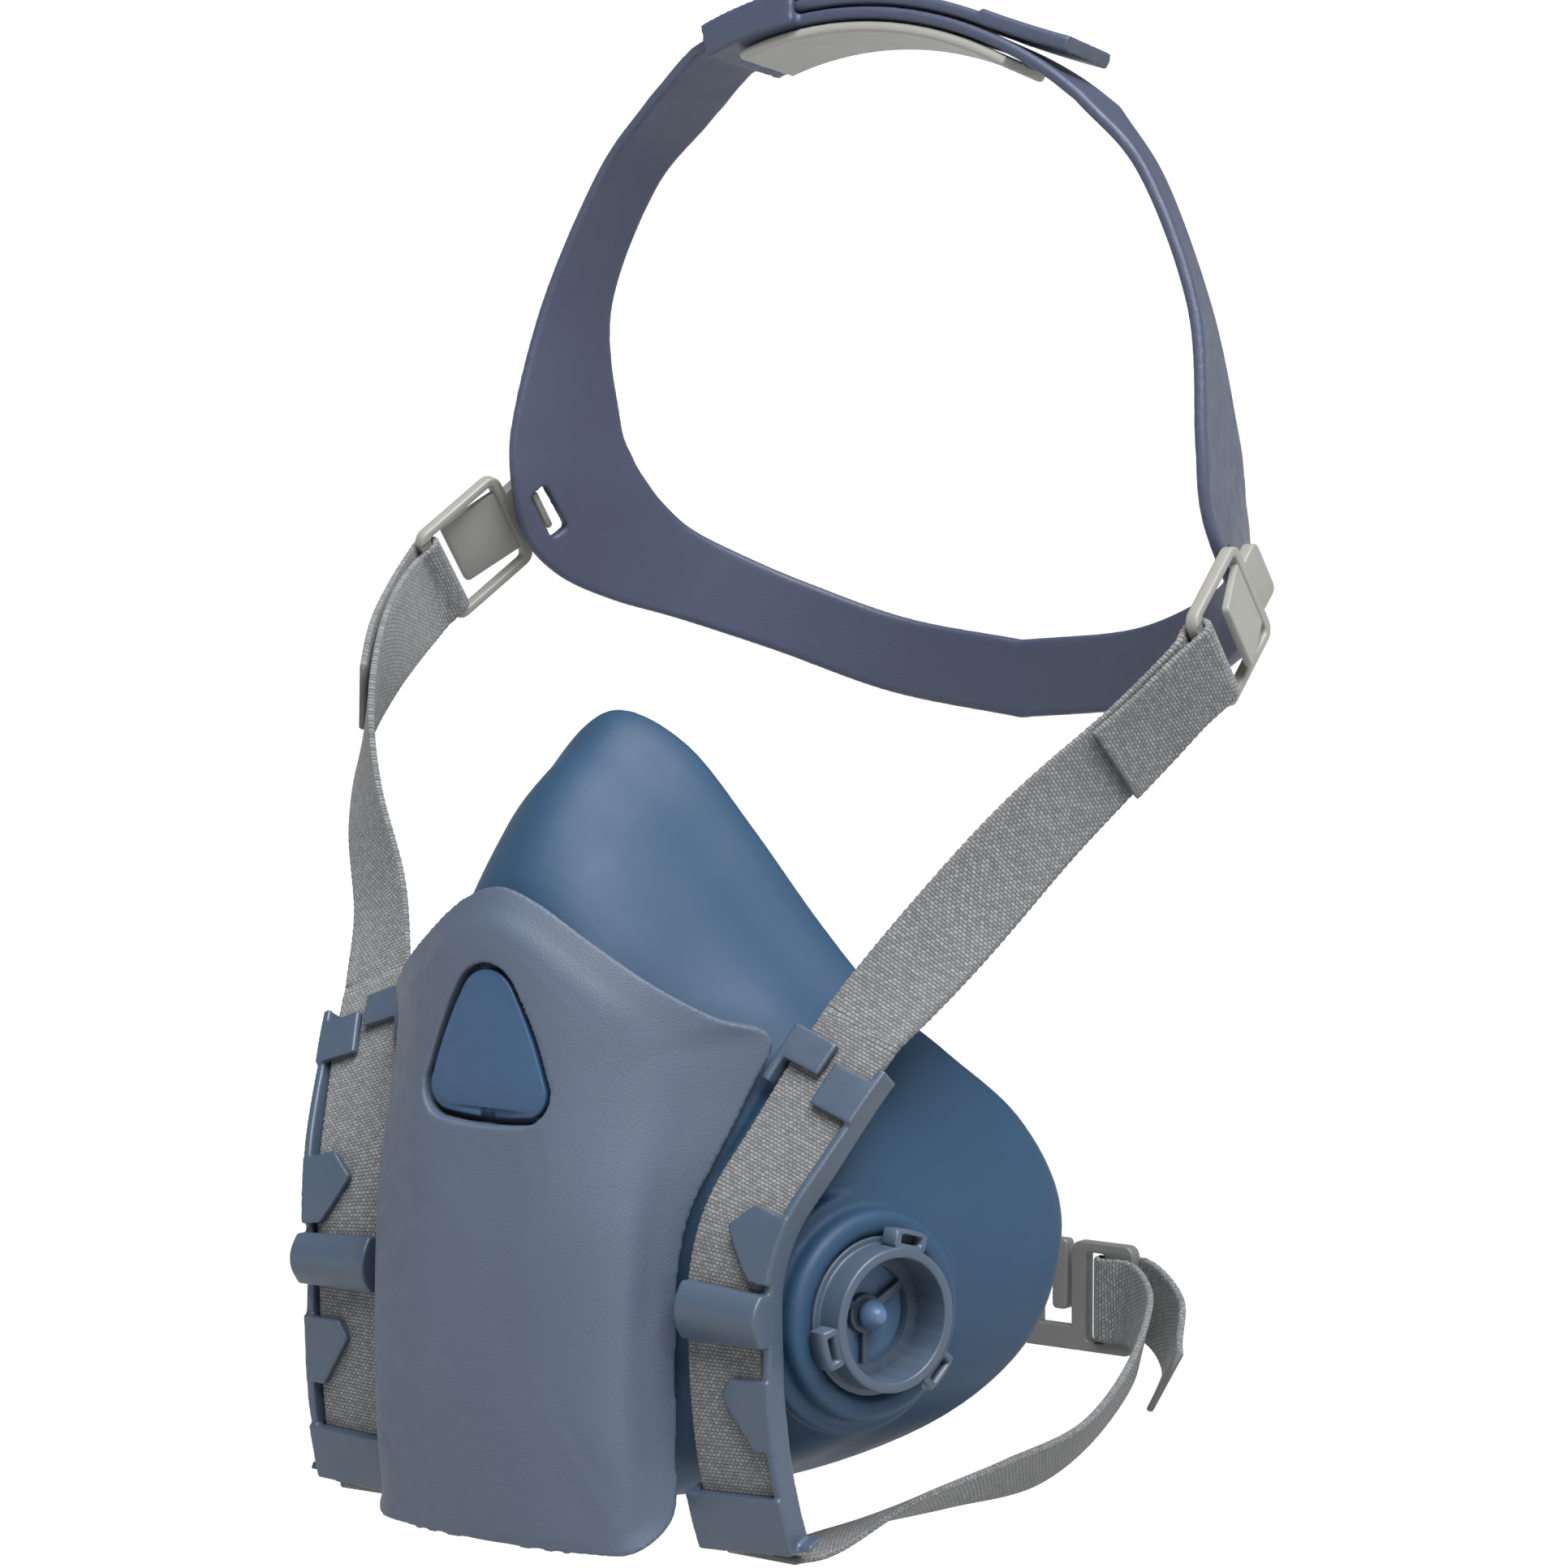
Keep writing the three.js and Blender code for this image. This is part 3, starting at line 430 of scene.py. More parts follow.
class Nodes:
    """A small helper for building a node material around one Principled shader."""

    def __init__(self, name):
        self.material = bpy.data.materials.new(name)
        self.material.use_nodes = True
        self.tree = self.material.node_tree
        self.shader = self.tree.nodes["Principled BSDF"]

    def node(self, kind, **values):
        n = self.tree.nodes.new(kind)
        for key, value in values.items():
            if hasattr(n, key):
                setattr(n, key, value)
            else:
                n.inputs[key.replace("_", " ")].default_value = value
        return n

    def link(self, a, b):
        self.tree.links.new(a, b)

    def coords(self):
        return self.node("ShaderNodeTexCoord").outputs["Object"]

    def noise(self, vector, scale, detail=3.0, rough=0.5):
        n = self.node("ShaderNodeTexNoise", Scale=scale, Detail=detail, Roughness=rough)
        self.link(vector, n.inputs["Vector"])
        return n.outputs["Fac"]

    def ramp(self, fac, stops):
        n = self.node("ShaderNodeValToRGB")
        while len(n.color_ramp.elements) < len(stops):
            n.color_ramp.elements.new(0.5)
        for e, (position, color) in zip(n.color_ramp.elements, stops):
            e.position = position
            e.color = color if isinstance(color, tuple) else (color, color, color, 1)
        self.link(fac, n.inputs["Fac"])
        return n.outputs["Color"]

    def math(self, op, a, b=None):
        n = self.node("ShaderNodeMath", operation=op)
        for i, x in enumerate((a, b)):
            if x is None:
                continue
            if isinstance(x, (int, float)):
                n.inputs[i].default_value = x
            else:
                self.link(x, n.inputs[i])
        return n.outputs[0]

    def mixed(self, fac, a, b, blend="MIX"):
        n = self.node("ShaderNodeMix", data_type="RGBA", blend_type=blend)
        for socket, x in ((n.inputs[0], fac), (n.inputs[6], a), (n.inputs[7], b)):
            if isinstance(x, (int, float, tuple)):
                socket.default_value = x
            else:
                self.link(x, socket)
        return n.outputs[2]

    def bump(self, height, strength, distance, normal=None):
        n = self.node("ShaderNodeBump", Strength=strength, Distance=distance)
        self.link(height, n.inputs["Height"])
        if normal is not None:
            self.link(normal, n.inputs["Normal"])
        return n.outputs["Normal"]

    def set(self, **values):
        for key, value in values.items():
            socket = self.shader.inputs[key.replace("_", " ")]
            if isinstance(value, (int, float, tuple)):
                socket.default_value = value
            else:
                self.link(value, socket)


def tinted(color, r, g, b):
    return color[0] * r, color[1] * g, color[2] * b, 1


def silicone(name, color, roughness=0.4, depth=0.08):
    m = Nodes(name)
    at = m.coords()
    base = m.ramp(m.noise(at, 26, 2), [(0.3, tinted(color, 0.94, 0.95, 0.96)),
                                       (0.7, tinted(color, 1.06, 1.05, 1.04))])
    rough = m.ramp(m.noise(at, 90, 4), [(0.3, roughness - 0.04), (0.7, roughness + 0.05)])
    fine = m.bump(m.noise(at, 2600, 2), 0.06, 0.00012)
    swell = m.bump(m.noise(at, 60, 2), 0.05, 0.0006, fine)
    m.set(Base_Color=base, Roughness=rough, Normal=swell, Specular_IOR_Level=0.35,
          Subsurface_Weight=depth, Subsurface_Scale=0.004,
          Subsurface_Radius=(0.5, 0.8, 1.0))
    return m.material


def moulded(name, color, roughness=0.52, grain=2600, strength=0.3, edge_highlight=0.12):
    """Grained plastic, its colour paler along its sharp convex edges: a painted edge highlight."""
    m = Nodes(name)
    at = m.coords()
    base = m.ramp(m.noise(at, 40, 3), [(0.3, tinted(color, 0.96, 0.96, 0.97)),
                                       (0.7, tinted(color, 1.04, 1.04, 1.03))])
    # painted highlight: the colour turns paler along sharp convex edges, where light catches them
    edge = m.ramp(m.node("ShaderNodeNewGeometry").outputs["Pointiness"], [(0.52, 0.0), (0.60, 1.0)])
    edge = m.math("MULTIPLY", edge, edge_highlight)
    pale = tuple(min(1, c * 1.5 + 0.05) for c in color[:3]) + (1,)
    base = m.mixed(edge, base, pale)
    rough = m.ramp(m.noise(at, 300, 4), [(0.3, roughness - 0.05), (0.7, roughness + 0.06)])
    cells = m.node("ShaderNodeTexVoronoi", Scale=grain)
    m.link(at, cells.inputs["Vector"])
    grit = m.math("ADD", cells.outputs["Distance"], m.noise(at, grain * 1.7, 2))
    m.set(Base_Color=base, Roughness=rough, Normal=m.bump(grit, strength, 0.00012))
    return m.material


def knit(name, light, dark, gap):
    """Heather knit: staggered loops across the strap, in its own width and length coordinates."""
    m = Nodes(name)
    at = m.node("ShaderNodeAttribute", attribute_name="weave").outputs["Vector"]
    wander = m.node("ShaderNodeTexNoise", Scale=0.9, Detail=2.0)
    m.link(at, wander.inputs["Vector"])
    shift = m.node("ShaderNodeVectorMath", operation="MULTIPLY_ADD")
    m.link(wander.outputs["Color"], shift.inputs[0])
    shift.inputs[1].default_value = (0.22, 0.22, 0)
    m.link(at, shift.inputs[2])
    loops = m.node("ShaderNodeTexBrick", Scale=1.0)
    loops.offset = 0.5
    for key, value in (("Mortar Size", 0.085), ("Mortar Smooth", 0.9), ("Bias", 0.0),
                       ("Brick Width", 0.9), ("Row Height", 0.62),
                       ("Color1", light), ("Color2", dark), ("Mortar", gap)):
        loops.inputs[key].default_value = value
    m.link(shift.outputs[0], loops.inputs["Vector"])
    stretch = m.node("ShaderNodeMapping")
    stretch.inputs["Scale"].default_value = (7.0, 2.2, 6.0)
    m.link(at, stretch.inputs["Vector"])
    fibre = m.noise(stretch.outputs[0], 1.0, 4, 0.7)
    patch = m.noise(at, 0.55, 3)
    shade = m.math("ADD", m.math("MULTIPLY", fibre, 0.75), m.math("MULTIPLY", patch, 0.25))
    tone = m.ramp(shade, [(0.35, 0.84), (0.68, 1.14)])
    base = m.mixed(1.0, loops.outputs["Color"], tone, "MULTIPLY")
    height = m.math("ADD", m.math("MULTIPLY", loops.outputs["Fac"], -1.0),
                    m.math("MULTIPLY", fibre, 0.45))
    m.set(Base_Color=base, Roughness=0.92, Sheen_Weight=0.25, Sheen_Roughness=0.5, Specular_IOR_Level=0.2,
          Normal=m.bump(height, 1.0, 0.00028))
    return m.material


SILICONE = silicone("facepiece_silicone", srgb(32, 59, 84), 0.58, 0.05)
FLAP = silicone("valve_silicone", srgb(76, 101, 130), 0.35, 0.12)
COVER = moulded("cover_plastic", srgb(65, 76, 93), 0.58, 2400, 0.35, 0.06)
FRAME = moulded("frame_plastic", srgb(57, 70, 86), 0.42, 3800, 0.10, 0.10)
BADGE = moulded("badge_plastic", srgb(36, 66, 97), 0.48, 3800, 0.08, 0.06)
KNIT = knit("strap_knit", srgb(121, 122, 123), srgb(96, 97, 99), srgb(55, 56, 58))
CRADLE = moulded("cradle_plastic", srgb(57, 65, 85), 0.5, 2800, 0.22, 0.10)
BUCKLE_MAT = moulded("buckle_plastic", srgb(127, 127, 122), 0.45, 4200, 0.08, 0.05)
CLASP_MAT = moulded("clasp_plastic", srgb(89, 90, 89), 0.45, 4200, 0.10, 0.12)
PAD = moulded("pad_plastic", srgb(143, 143, 138), 0.6, 2600, 0.25, 0.05)

# ---- facepiece and ports, with the control points of the CAD source ------------------------------
WALL = 2.4
SEAT_Z = -8
FRONT_Y = -66
SEAT_HOLE = 21
SEAT_BORE = 16
TUBE_R = 12.3
TUBE_BORE = 10.5
TUBE_OUT = 5
LUG_R = 15.3
COLLAR_R = 18
COLLAR_BORE = 13.9
STEP_R = 21
SPOKES = (30, 150, 270)   # degrees round the port axis
LUG_TURN = 45             # from each spoke to the next lug
PORT_AT = [56.8, -45.6, -5.5]
PORT_TURN = math.radians(15)
GAP = 0.3
ROUND = 128   # segments of a turned piece

SEAL = [[0, -44, 94], [12, -40.5, 88], [23, -36.5, 74], [33.5, -32, 58.5], [43, -27.5, 46],
        [52, -20, 36], [59, -8.5, 24], [62.5, -1, 9], [61.5, -1, -6], [56, -5, -19.5],
        [43, -12.5, -31.5], [23, -24.5, -40.5], [0, -30.5, -44]]
CHEEK = [[0, -61, 81], [11, -58.5, 76], [20.5, -55, 64], [29, -52, 52], [37.5, -48.5, 42.5],
         [44.5, -46.5, 32], [50.5, -47, 19], [52.5, -46.5, 6], [52, -46, -7], [48, -46, -19.5],
         [38, -47, -31], [20.5, -49.5, -39.5], [0, -51, -42]]
FRONT = [[0, -72.5, 61], [9, -71.5, 58], [16.5, -69.5, 50.5], [22.5, -66.2, 41], [27, -63.2, 31],
         [29.5, -63, 20], [30, -63.5, 9], [30, -63.5, -1], [29.5, -63.5, -11], [28, -63.5, -21],
         [22.5, -64, -30.5], [12.5, -64.6, -36.5], [0, -65, -38.5]]


def hole(r):
    turns = [math.radians(15 * i) for i in range(13)]
    return [[r * math.sin(q), FRONT_Y, SEAT_Z + r * math.cos(q)] for q in turns]


def inset(half, inwards, back):
    """A half ring moved inwards in the front view, and back towards the face."""
    h = np.asarray(half, float)
    out = h.copy()
    for i in range(len(h)):
        a, b = h[max(i - 1, 0)], h[min(i + 1, len(h) - 1)]
        nx, nz = -(b[2] - a[2]), b[0] - a[0]
        if i in (0, len(h) - 1):
            nx = 0
        d = math.hypot(nx, nz) or 1
        out[i] += [-inwards * nx / d, back, -inwards * nz / d]
    return out


PORT_C, PORT_S = math.cos(PORT_TURN), math.sin(PORT_TURN)
PORT = place([PORT_S, PORT_C, 0], [0, 0, 1], [PORT_C, -PORT_S, 0], PORT_AT)
SEAT = place([1, 0, 0], [0, 0, 1], [0, -1, 0], [0, FRONT_Y, SEAT_Z])
FACING = place([1, 0, 0], [0, 0, 1], [0, -1, 0], [0, 0, 0])


def arc(cx, cz, r, a0, a1, k=5):
    """Points of a rounded corner in a turned profile."""
    turns = [math.radians(a0 + (a1 - a0) * i / k) for i in range(k + 1)]
    return [[cx + r * math.cos(q), cz + r * math.sin(q)] for q in turns]


def make_facepiece():
    around = 144
    rings = [both(r) for r in (hole(SEAT_HOLE), hole(SEAT_HOLE + 3.4), FRONT, CHEEK,
                               mix(CHEEK, SEAL, 0.55), mix(CHEEK, SEAL, 0.9),
                               inset(SEAL, 0.6, 1.6), inset(SEAL, 4.5, 3.6), inset(SEAL, 11, 2))]
    grid = surface(rings, around, [2, 3, 8, 8, 8, 4, 5, 4, 4])
    shell = loft(np.concatenate([grid, offset(grid, WALL)[::-1]]), joined=True)
    boss = turned([[8, -14], [STEP_R - 2.4, -14], [STEP_R, -7]] + arc(STEP_R - 1.2, -5.4, 1.2, 0, 80)
                  + [[COLLAR_R + 0.9, -4.1], [COLLAR_R + 0.1, -3.7]]
                  + arc(COLLAR_R - 1.8, -1.8, 1.8, 0, 90) + [[8, 0]], ROUND, PORT)
    bore = turned([[0, -22], [15.8, -22], [15.8, -9.6], [TUBE_R + GAP, -9.6], [TUBE_R + GAP, -1.6],
                   [COLLAR_BORE, -1.6], [COLLAR_BORE, -0.6], [14.3, -0.1], [14.4, 8], [0, 8]], ROUND, PORT)
    r = SEAT_HOLE
    seat_room = turned([[r - 4, -9], [r + 3, -9], [r + 3, -WALL - 0.1], [r, -WALL - 0.1],
                        [r, 0], [r + 3, 0], [r + 3, 6], [r - 4, 6]], ROUND, SEAT)
    rail_room = strip(span(2, 52, 60), IN - 2, OUT + 2, -2.9, 9)
    obj = fused("facepiece_skin", [shell, boss, mirrored(boss)], 0.62, 3, keep=0.5,
                cutters=[bore, mirrored(bore), seat_room, rail_room, mirrored(rail_room)])
    finish_piece(obj, "mask", "facepiece_silicone", SILICONE, "facepiece")


def make_port(side):
    is_left = side == "left"
    upright = np.eye(4)
    tube = turned([[TUBE_BORE, -9.2], [TUBE_R, -9.2], [TUBE_R, -1.2], [13.5, -1.2]]
                  + arc(13.2, -0.7, 0.3, 0, 90, 3)
                  + [[TUBE_R + 0.2, -0.4], [TUBE_R, -0.1], [TUBE_R, TUBE_OUT - 0.5]]
                  + arc(TUBE_R - 0.5, TUBE_OUT - 0.5, 0.5, 0, 90, 4)
                  + arc(TUBE_BORE + 0.4, TUBE_OUT - 0.4, 0.4, 90, 180, 4), ROUND, upright)
    ledge = turned([[8.5, -4], [TUBE_BORE + 0.4, -4], [TUBE_BORE + 0.4, -2.6], [8.5, -2.6]], ROUND, upright)
    hub = turned([[1.35, -4], [3.4, -4]] + arc(3.1, -3.3, 0.3, 0, 90, 3) + [[1.35, -3]], ROUND // 2, upright)
    spoke = flat_plate(rounded(3, -0.8, 8.9, 0.8, 0.3), -4, -3, upright, 0.2)
    lug = flat_plate(rounded(TUBE_R - 0.6, -3.4, LUG_R + 2, 3.4, 0.9), 0.8, 4.6, upright, 0.3)
    recess = flat_plate(rounded(TUBE_R + 0.5, -2.3, LUG_R - 0.9, 2.3, 0.5), 1.8, 7, upright, 0.05)
    obj = joined(f"{side}_port_ring",
                 [tube, ledge, hub] + [moved_shape(spoke, spun(upright, a)) for a in SPOKES])
    limit = turned([[0, 0], [LUG_R, 0], [LUG_R, 4.1], [LUG_R - 0.5, 4.6], [0, 4.6]], ROUND, upright)
    at_lugs = [spun(upright, a + LUG_TURN) for a in SPOKES]
    for at in at_lugs:
        part = joined("lug", [moved_shape(lug, at)])
        combined(part, [limit], "INTERSECT")
        combine(obj, part, "UNION")
    combined(obj, [moved_shape(recess, at) for at in at_lugs], "DIFFERENCE")
    to_side(obj, is_left, PORT)
    finish_piece(obj, "mask", "frame_plastic", FRAME, f"{side}_port")

    ring = turned([[TUBE_R + GAP, -12.5], [14.8, -12.5], [15.5, -11.5], [15.5, -10], [TUBE_R + GAP, -10]],
                  ROUND, upright)
    obj = to_side(joined(f"{side}_retainer_ring", [ring]), is_left, PORT)
    finish_piece(obj, "mask", "frame_plastic", FRAME, f"{side}_port_retainer")

    flap = turned([[0, -5.3], [9.1, -5.1], [9.2, -4.85], [9.1, -4.6], [1, -4.35], [1, -1.8], [2.6, -1.8],
                   [2.7, -1.5], [2.5, -0.9], [1.3, 0.9], [0.8, 1.25], [0, 1.3]], ROUND, upright)
    obj = to_side(joined(f"{side}_inhalation_flap_disc", [flap], angle=40), is_left, PORT)
    finish_piece(obj, f"{side}_inhalation_flap", "valve_silicone", FLAP, f"{side}_inhalation_valve")


def moved_shape(shape, where):
    return moved(shape[0], where), shape[1]


def to_side(obj, is_left, where=None):
    """Puts a piece made about the origin where it belongs, mirrored onto the wearer's right if asked."""
    co = np.empty(len(obj.data.vertices) * 3)
    obj.data.vertices.foreach_get("co", co)
    co = co.reshape(-1, 3)
    if where is not None:
        m = np.array(where, float)
        co = co @ m[:3, :3].T + m[:3, 3] * MM
    if not is_left:
        co = co * [-1, 1, 1]
    obj.data.vertices.foreach_set("co", co.ravel())
    if not is_left:
        obj.data.flip_normals()
    obj.data.update()
    return obj


def make_exhalation_valve():
    r = SEAT_HOLE
    behind = -WALL - GAP - 0.1
    ring = turned([[SEAT_BORE, -4.4], [r + 2, -4.4], [r + 2.4, behind], [r - GAP, behind], [r - GAP, GAP],
                   [r + 2.4, GAP], [r + 2.4, 1.4], [r - 2, 2.2], [SEAT_BORE + 0.4, 2.2], [SEAT_BORE, 1.8]],
                  ROUND, SEAT)
    hub = turned([[1.6, -1], [4, -1], [4, 1.3], [3.7, 1.6], [1.6, 1.6]], ROUND // 2, SEAT)
    arm = rounded(3.4, -0.8, SEAT_BORE + 0.6, 0.8, 0.3)
    spokes = [flat_plate(arm, -0.8, 1.4, spun(SEAT, a), 0.25) for a in range(30, 390, 60)]
    seat = joined("exhalation_seat_ring", [ring, hub] + spokes)
    finish_piece(seat, "mask", "frame_plastic", FRAME, "exhalation_seat")
    flap = turned([[0, -4.8], [0.7, -4.75], [1.1, -4.5], [2.5, -3], [1.2, -3], [1.2, 2.5], [17.4, 2.5],
                   [17.6, 2.75], [17.4, 3], [3, 3.4], [0, 3.6]], ROUND, SEAT)
    disc = joined("exhalation_flap_disc", [flap], angle=40)
    finish_piece(disc, "exhalation_flap", "valve_silicone", FLAP, "exhalation_valve")


# ---- centre cover and badge ----------------------------------------------------------------------
COVER_WALL = 2
EDGE = [[0, -76, 66], [8, -75.3, 63.5], [16, -73.4, 58.4], [27, -68.6, 50.6], [35.5, -61.5, 44.6],
        [41, -54, 41.2], [38.6, -57, 32], [35.6, -61.8, 21.5], [32.6, -65.6, 12], [31, -67, 1],
        [30.6, -67, -13], [30.8, -67.2, -28], [31.4, -68.6, -39], [28, -75.4, -44.6],
        [19, -78.3, -45.4], [9.5, -79.6, -45.5], [0, -80, -45.5]]
SHOULDER = [[0, -79.2, 59], [6, -78.9, 57.4], [12.4, -77.8, 53.2], [20, -75.2, 46.6],
            [24.5, -72.6, 41.4], [26.4, -71.6, 36.4], [26.8, -72.8, 28.5], [26.9, -75, 19],
            [26.9, -76.6, 10], [26.8, -77.4, 0], [26.7, -77.8, -13], [26.7, -77.6, -27],
            [26.8, -76.4, -37], [24.4, -77.4, -41.6], [16.8, -79.4, -42.4], [8.4, -80.6, -42.6],
            [0, -81, -42.6]]


FACE_Z = 4        # height that the rings on the cover's face close in on


def face_point(x, z):
    h = FACE_Z * 0.45 + z * 0.55
    return [0.55 * x, -83.5 + 0.0016 * (h + 8) ** 2 + 1.1 * (x / 27) ** 2, h]


FACE = [face_point(x, z) for x, _, z in SHOULDER]
MIDDLE = [[0.12 * x, -83.3, FACE_Z * 0.88 + z * 0.12] for x, _, z in FACE]
BADGE_MID = (0, 39)
BADGE_CORNERS = [(0, 7.2, 7.1), (-8.4, -7.3, 5.3), (8.4, -7.3, 5.3)]   # x, z and radius
BADGE_BULGE = 0.5


def triangle(grow, k=9):
    """The badge's outline, grown: three round corners with slightly bulged sides between them."""
    out = []
    for (x, z, r), a in zip(BADGE_CORNERS, (90, 210, 330)):
        for i in range(k + 1):
            q = math.radians(a - 60 + 120 * i / k)
            out.append((x + (r + grow) * math.cos(q) + BADGE_MID[0],
                        z + (r + grow) * math.sin(q) + BADGE_MID[1]))
    for c in (2, 1, 0):
        following = (c + 1) * (k + 1)
        end, start = np.array(out[following - 1]), np.array(out[following % len(out)])
        side = start - end
        away = np.array([side[1], -side[0]]) / np.linalg.norm(side)
        out[following:following] = [tuple(end + side * f + away * BADGE_BULGE * 4 * f * (1 - f))
                                    for f in (0.2, 0.4, 0.6, 0.8)]
    return out


def make_cover():
    rings = [both(r) for r in (MIDDLE, FACE, SHOULDER, mix(SHOULDER, EDGE, 0.55), EDGE)]
    grid = surface(rings, 160, [4, 6, 8, 6])
    shell = loft(np.concatenate([grid, offset(grid, COVER_WALL)[::-1]]))
    window = flat_plate(triangle(0), 60, 90, FACING, 0)
    tray = flat_plate(triangle(1.8), 74.4, 76, FACING, 0)
    obj = piece("cover_wall", flat_plate(triangle(1.8), 75.8, 84, FACING, 0, [triangle(0)]))
    combined(obj, [loft(grid)], "INTERSECT")
    wall = shape_of(obj)
    obj = piece("cover_body", shell)
    combined(obj, [window], "DIFFERENCE")
    combined(obj, [tray, wall], "UNION")
    softened(obj, 0.45, 2, 0.5)
    finish_piece(obj, "mask", "cover_plastic", COVER, "centre_cover")
    tile = joined("badge_tile", [flat_plate(triangle(-1.1), 76.3, 79.3, FACING, 0.45)])
    notch = flat_plate(rounded(-1.7, 26.2, 1.7, 28.6, 0.6), 78.2, 81, FACING, 0)
    combined(tile, [notch], "DIFFERENCE")
    finish_piece(tile, "mask", "badge_plastic", BADGE, "size_badge")


def shape_of(obj):
    """The shape of a temporary object, in millimetres; the object is removed."""
    co = np.empty(len(obj.data.vertices) * 3)
    obj.data.vertices.foreach_get("co", co)
    faces = [tuple(f.vertices) for f in obj.data.polygons]
    bpy.data.objects.remove(obj)
    return co.reshape(-1, 3) / MM, faces


# ---- strap rails ---------------------------------------------------------------------------------
STRAP_W = 16
STRAP_T = 1.3
RAIL_POINTS = [[53.2, -46.4, 41.8], [51, -50.6, 35.9], [47, -57.6, 24.5], [43, -64.2, 13],
               [41.3, -66.6, 3], [41, -66.6, -8], [41.2, -66, -20], [41.8, -64.4, -32],
               [42.4, -61.4, -42.5], [42.6, -60.3, -45]]
RAIL_WIDTHS = [[0.9, -0.05, -0.43], [0.86, -0.13, -0.49], [0.93, -0.1, -0.36],
               [0.99, 0, -0.12]] + [[1, 0, 0]] * 6
IN = -STRAP_W / 2 - 0.4
OUT = STRAP_W / 2 + 0.4
FLOOR = (-2.6, -1)
LID = (1, 2.5)
RAIL_MARKS = 54


def span(a, b, n):
    """A stretch of the rail's path between two of its marks."""
    return curve(RAIL_POINTS, RAIL_WIDTHS, n, a / RAIL_MARKS, b / RAIL_MARKS)


def make_rail(side):
    edge = OUT + 1.6

    def k(n):
        return np.linspace(0, 1, n)

    def bar(a, b, n, u0, u1, v0, v1, r=0.3):
        return strip(span(a, b, n), u0, u1, v0, v1, r)

    shapes = [
        bar(3, 51, 80, IN - 0.2, edge, *FLOOR),
        bar(3, 51, 80, OUT, edge, -2.6, 1.2 + 1.2 * np.sin(6.3 * k(80)) ** 2),
        bar(3, 9, 12, IN - 1.6, IN, -2.6, LID[1]),
        bar(3, 9, 12, OUT, edge, -2.6, LID[1]),
        bar(3, 7, 10, IN - 1.6, -0.8, *LID),
        bar(5, 9, 10, 0.8, edge, *LID),
        bar(17, 24, 16, -1 + 7 * np.abs(k(16) - 0.35) * 1.5, edge, *LID),
        bar(25, 30, 20, -7, edge, 1, 2.2 + 3.6 * np.sin(np.pi * (0.12 + 0.76 * k(20)))),
        bar(33, 39, 16, 6 * np.abs(k(16) - 0.25) * 1.3, edge, *LID),
        bar(43, 50, 12, IN - 1.6, edge, LID[0], LID[1] + 0.3),
        bar(43, 50, 12, IN - 1.6, IN, -2.6, LID[1]),
        bar(48, 50, 6, OUT, OUT + 4.4, -2.6, 0.5 + k(6)),
    ]
    obj = fused(f"{side}_rail_body", shapes, 0.32, 2, keep=0.6)
    to_side(obj, side == "left")
    finish_piece(obj, "mask", "frame_plastic", FRAME, f"{side}_strap_rail")


# ---- webbing -------------------------------------------------------------------------------------
EDGE_R = 0.6      # rounding of the strap's edges
ROW = 1.5         # pitch of its scalloped edge


def webbing(name, line, is_left):
    """Knit strap with rounded, slightly scalloped edges and its own width and length as an attribute."""
    half_w, half_t = STRAP_W / 2, STRAP_T / 2
    across = 20
    n = len(line.p)
    flat = half_w - EDGE_R
    profile = []
    weave = []
    for u in np.linspace(-flat, flat, across):
        profile.append((u, half_t))
        weave.append(u)
    for a in (60, 20, -20, -60):
        q = math.radians(a)
        profile.append((flat + EDGE_R * math.cos(q), half_t * math.sin(q)))
        weave.append(half_w + 0.4 - a / 90)
    for u in np.linspace(flat, -flat, across):
        profile.append((u, -half_t))
        weave.append(u + 20)
    for a in (-120, -160, 160, 120):
        q = math.radians(a)
        profile.append((-flat + EDGE_R * math.cos(q), half_t * math.sin(q)))
        weave.append(-half_w - 0.4)
    m = len(profile)
    scallop = 0.10 * np.sin(2 * np.pi * line.s / ROW)
    grid = np.empty((n, m, 3))
    data = np.empty((n, m, 3))
    for j, (u, v) in enumerate(profile):
        wide = u + np.sign(u) * scallop * (abs(u) > half_w - 0.7)
        grid[:, j] = line.at(wide, v)
        data[:, j] = np.stack([np.full(n, weave[j]), line.s, np.zeros(n)], 1)
    verts, faces = loft(grid)
    if not is_left:
        verts = verts * [-1, 1, 1]
        faces = [tuple(reversed(f)) for f in faces]
    mesh = bpy.data.meshes.new(name)
    mesh.from_pydata([tuple(v * MM) for v in verts], [], faces)
    attribute = mesh.attributes.new("weave", "FLOAT_VECTOR", "POINT")
    attribute.data.foreach_set("vector", data.reshape(-1, 3).astype(np.float32).ravel())
    mesh.shade_smooth()
    obj = bpy.data.objects.new(name, mesh)
    bpy.context.scene.collection.objects.link(obj)
    obj.data.materials.append(KNIT)
    return obj


class Buckle:
    """A buckle's own frame: u across towards the back of the head, t along the strap, v outwards."""

    def __init__(self, at, along, out):
        self.t = unit(along)
        out = np.asarray(out, float)
        self.v = unit(out - self.t * (out @ self.t))
        self.u = np.cross(self.t, self.v)
        self.origin = np.asarray(at, float)
        self.place = place(self.u, self.t, self.v, self.origin)

    def at(self, a, b, c):
        return self.origin + a * self.u + b * self.t + c * self.v


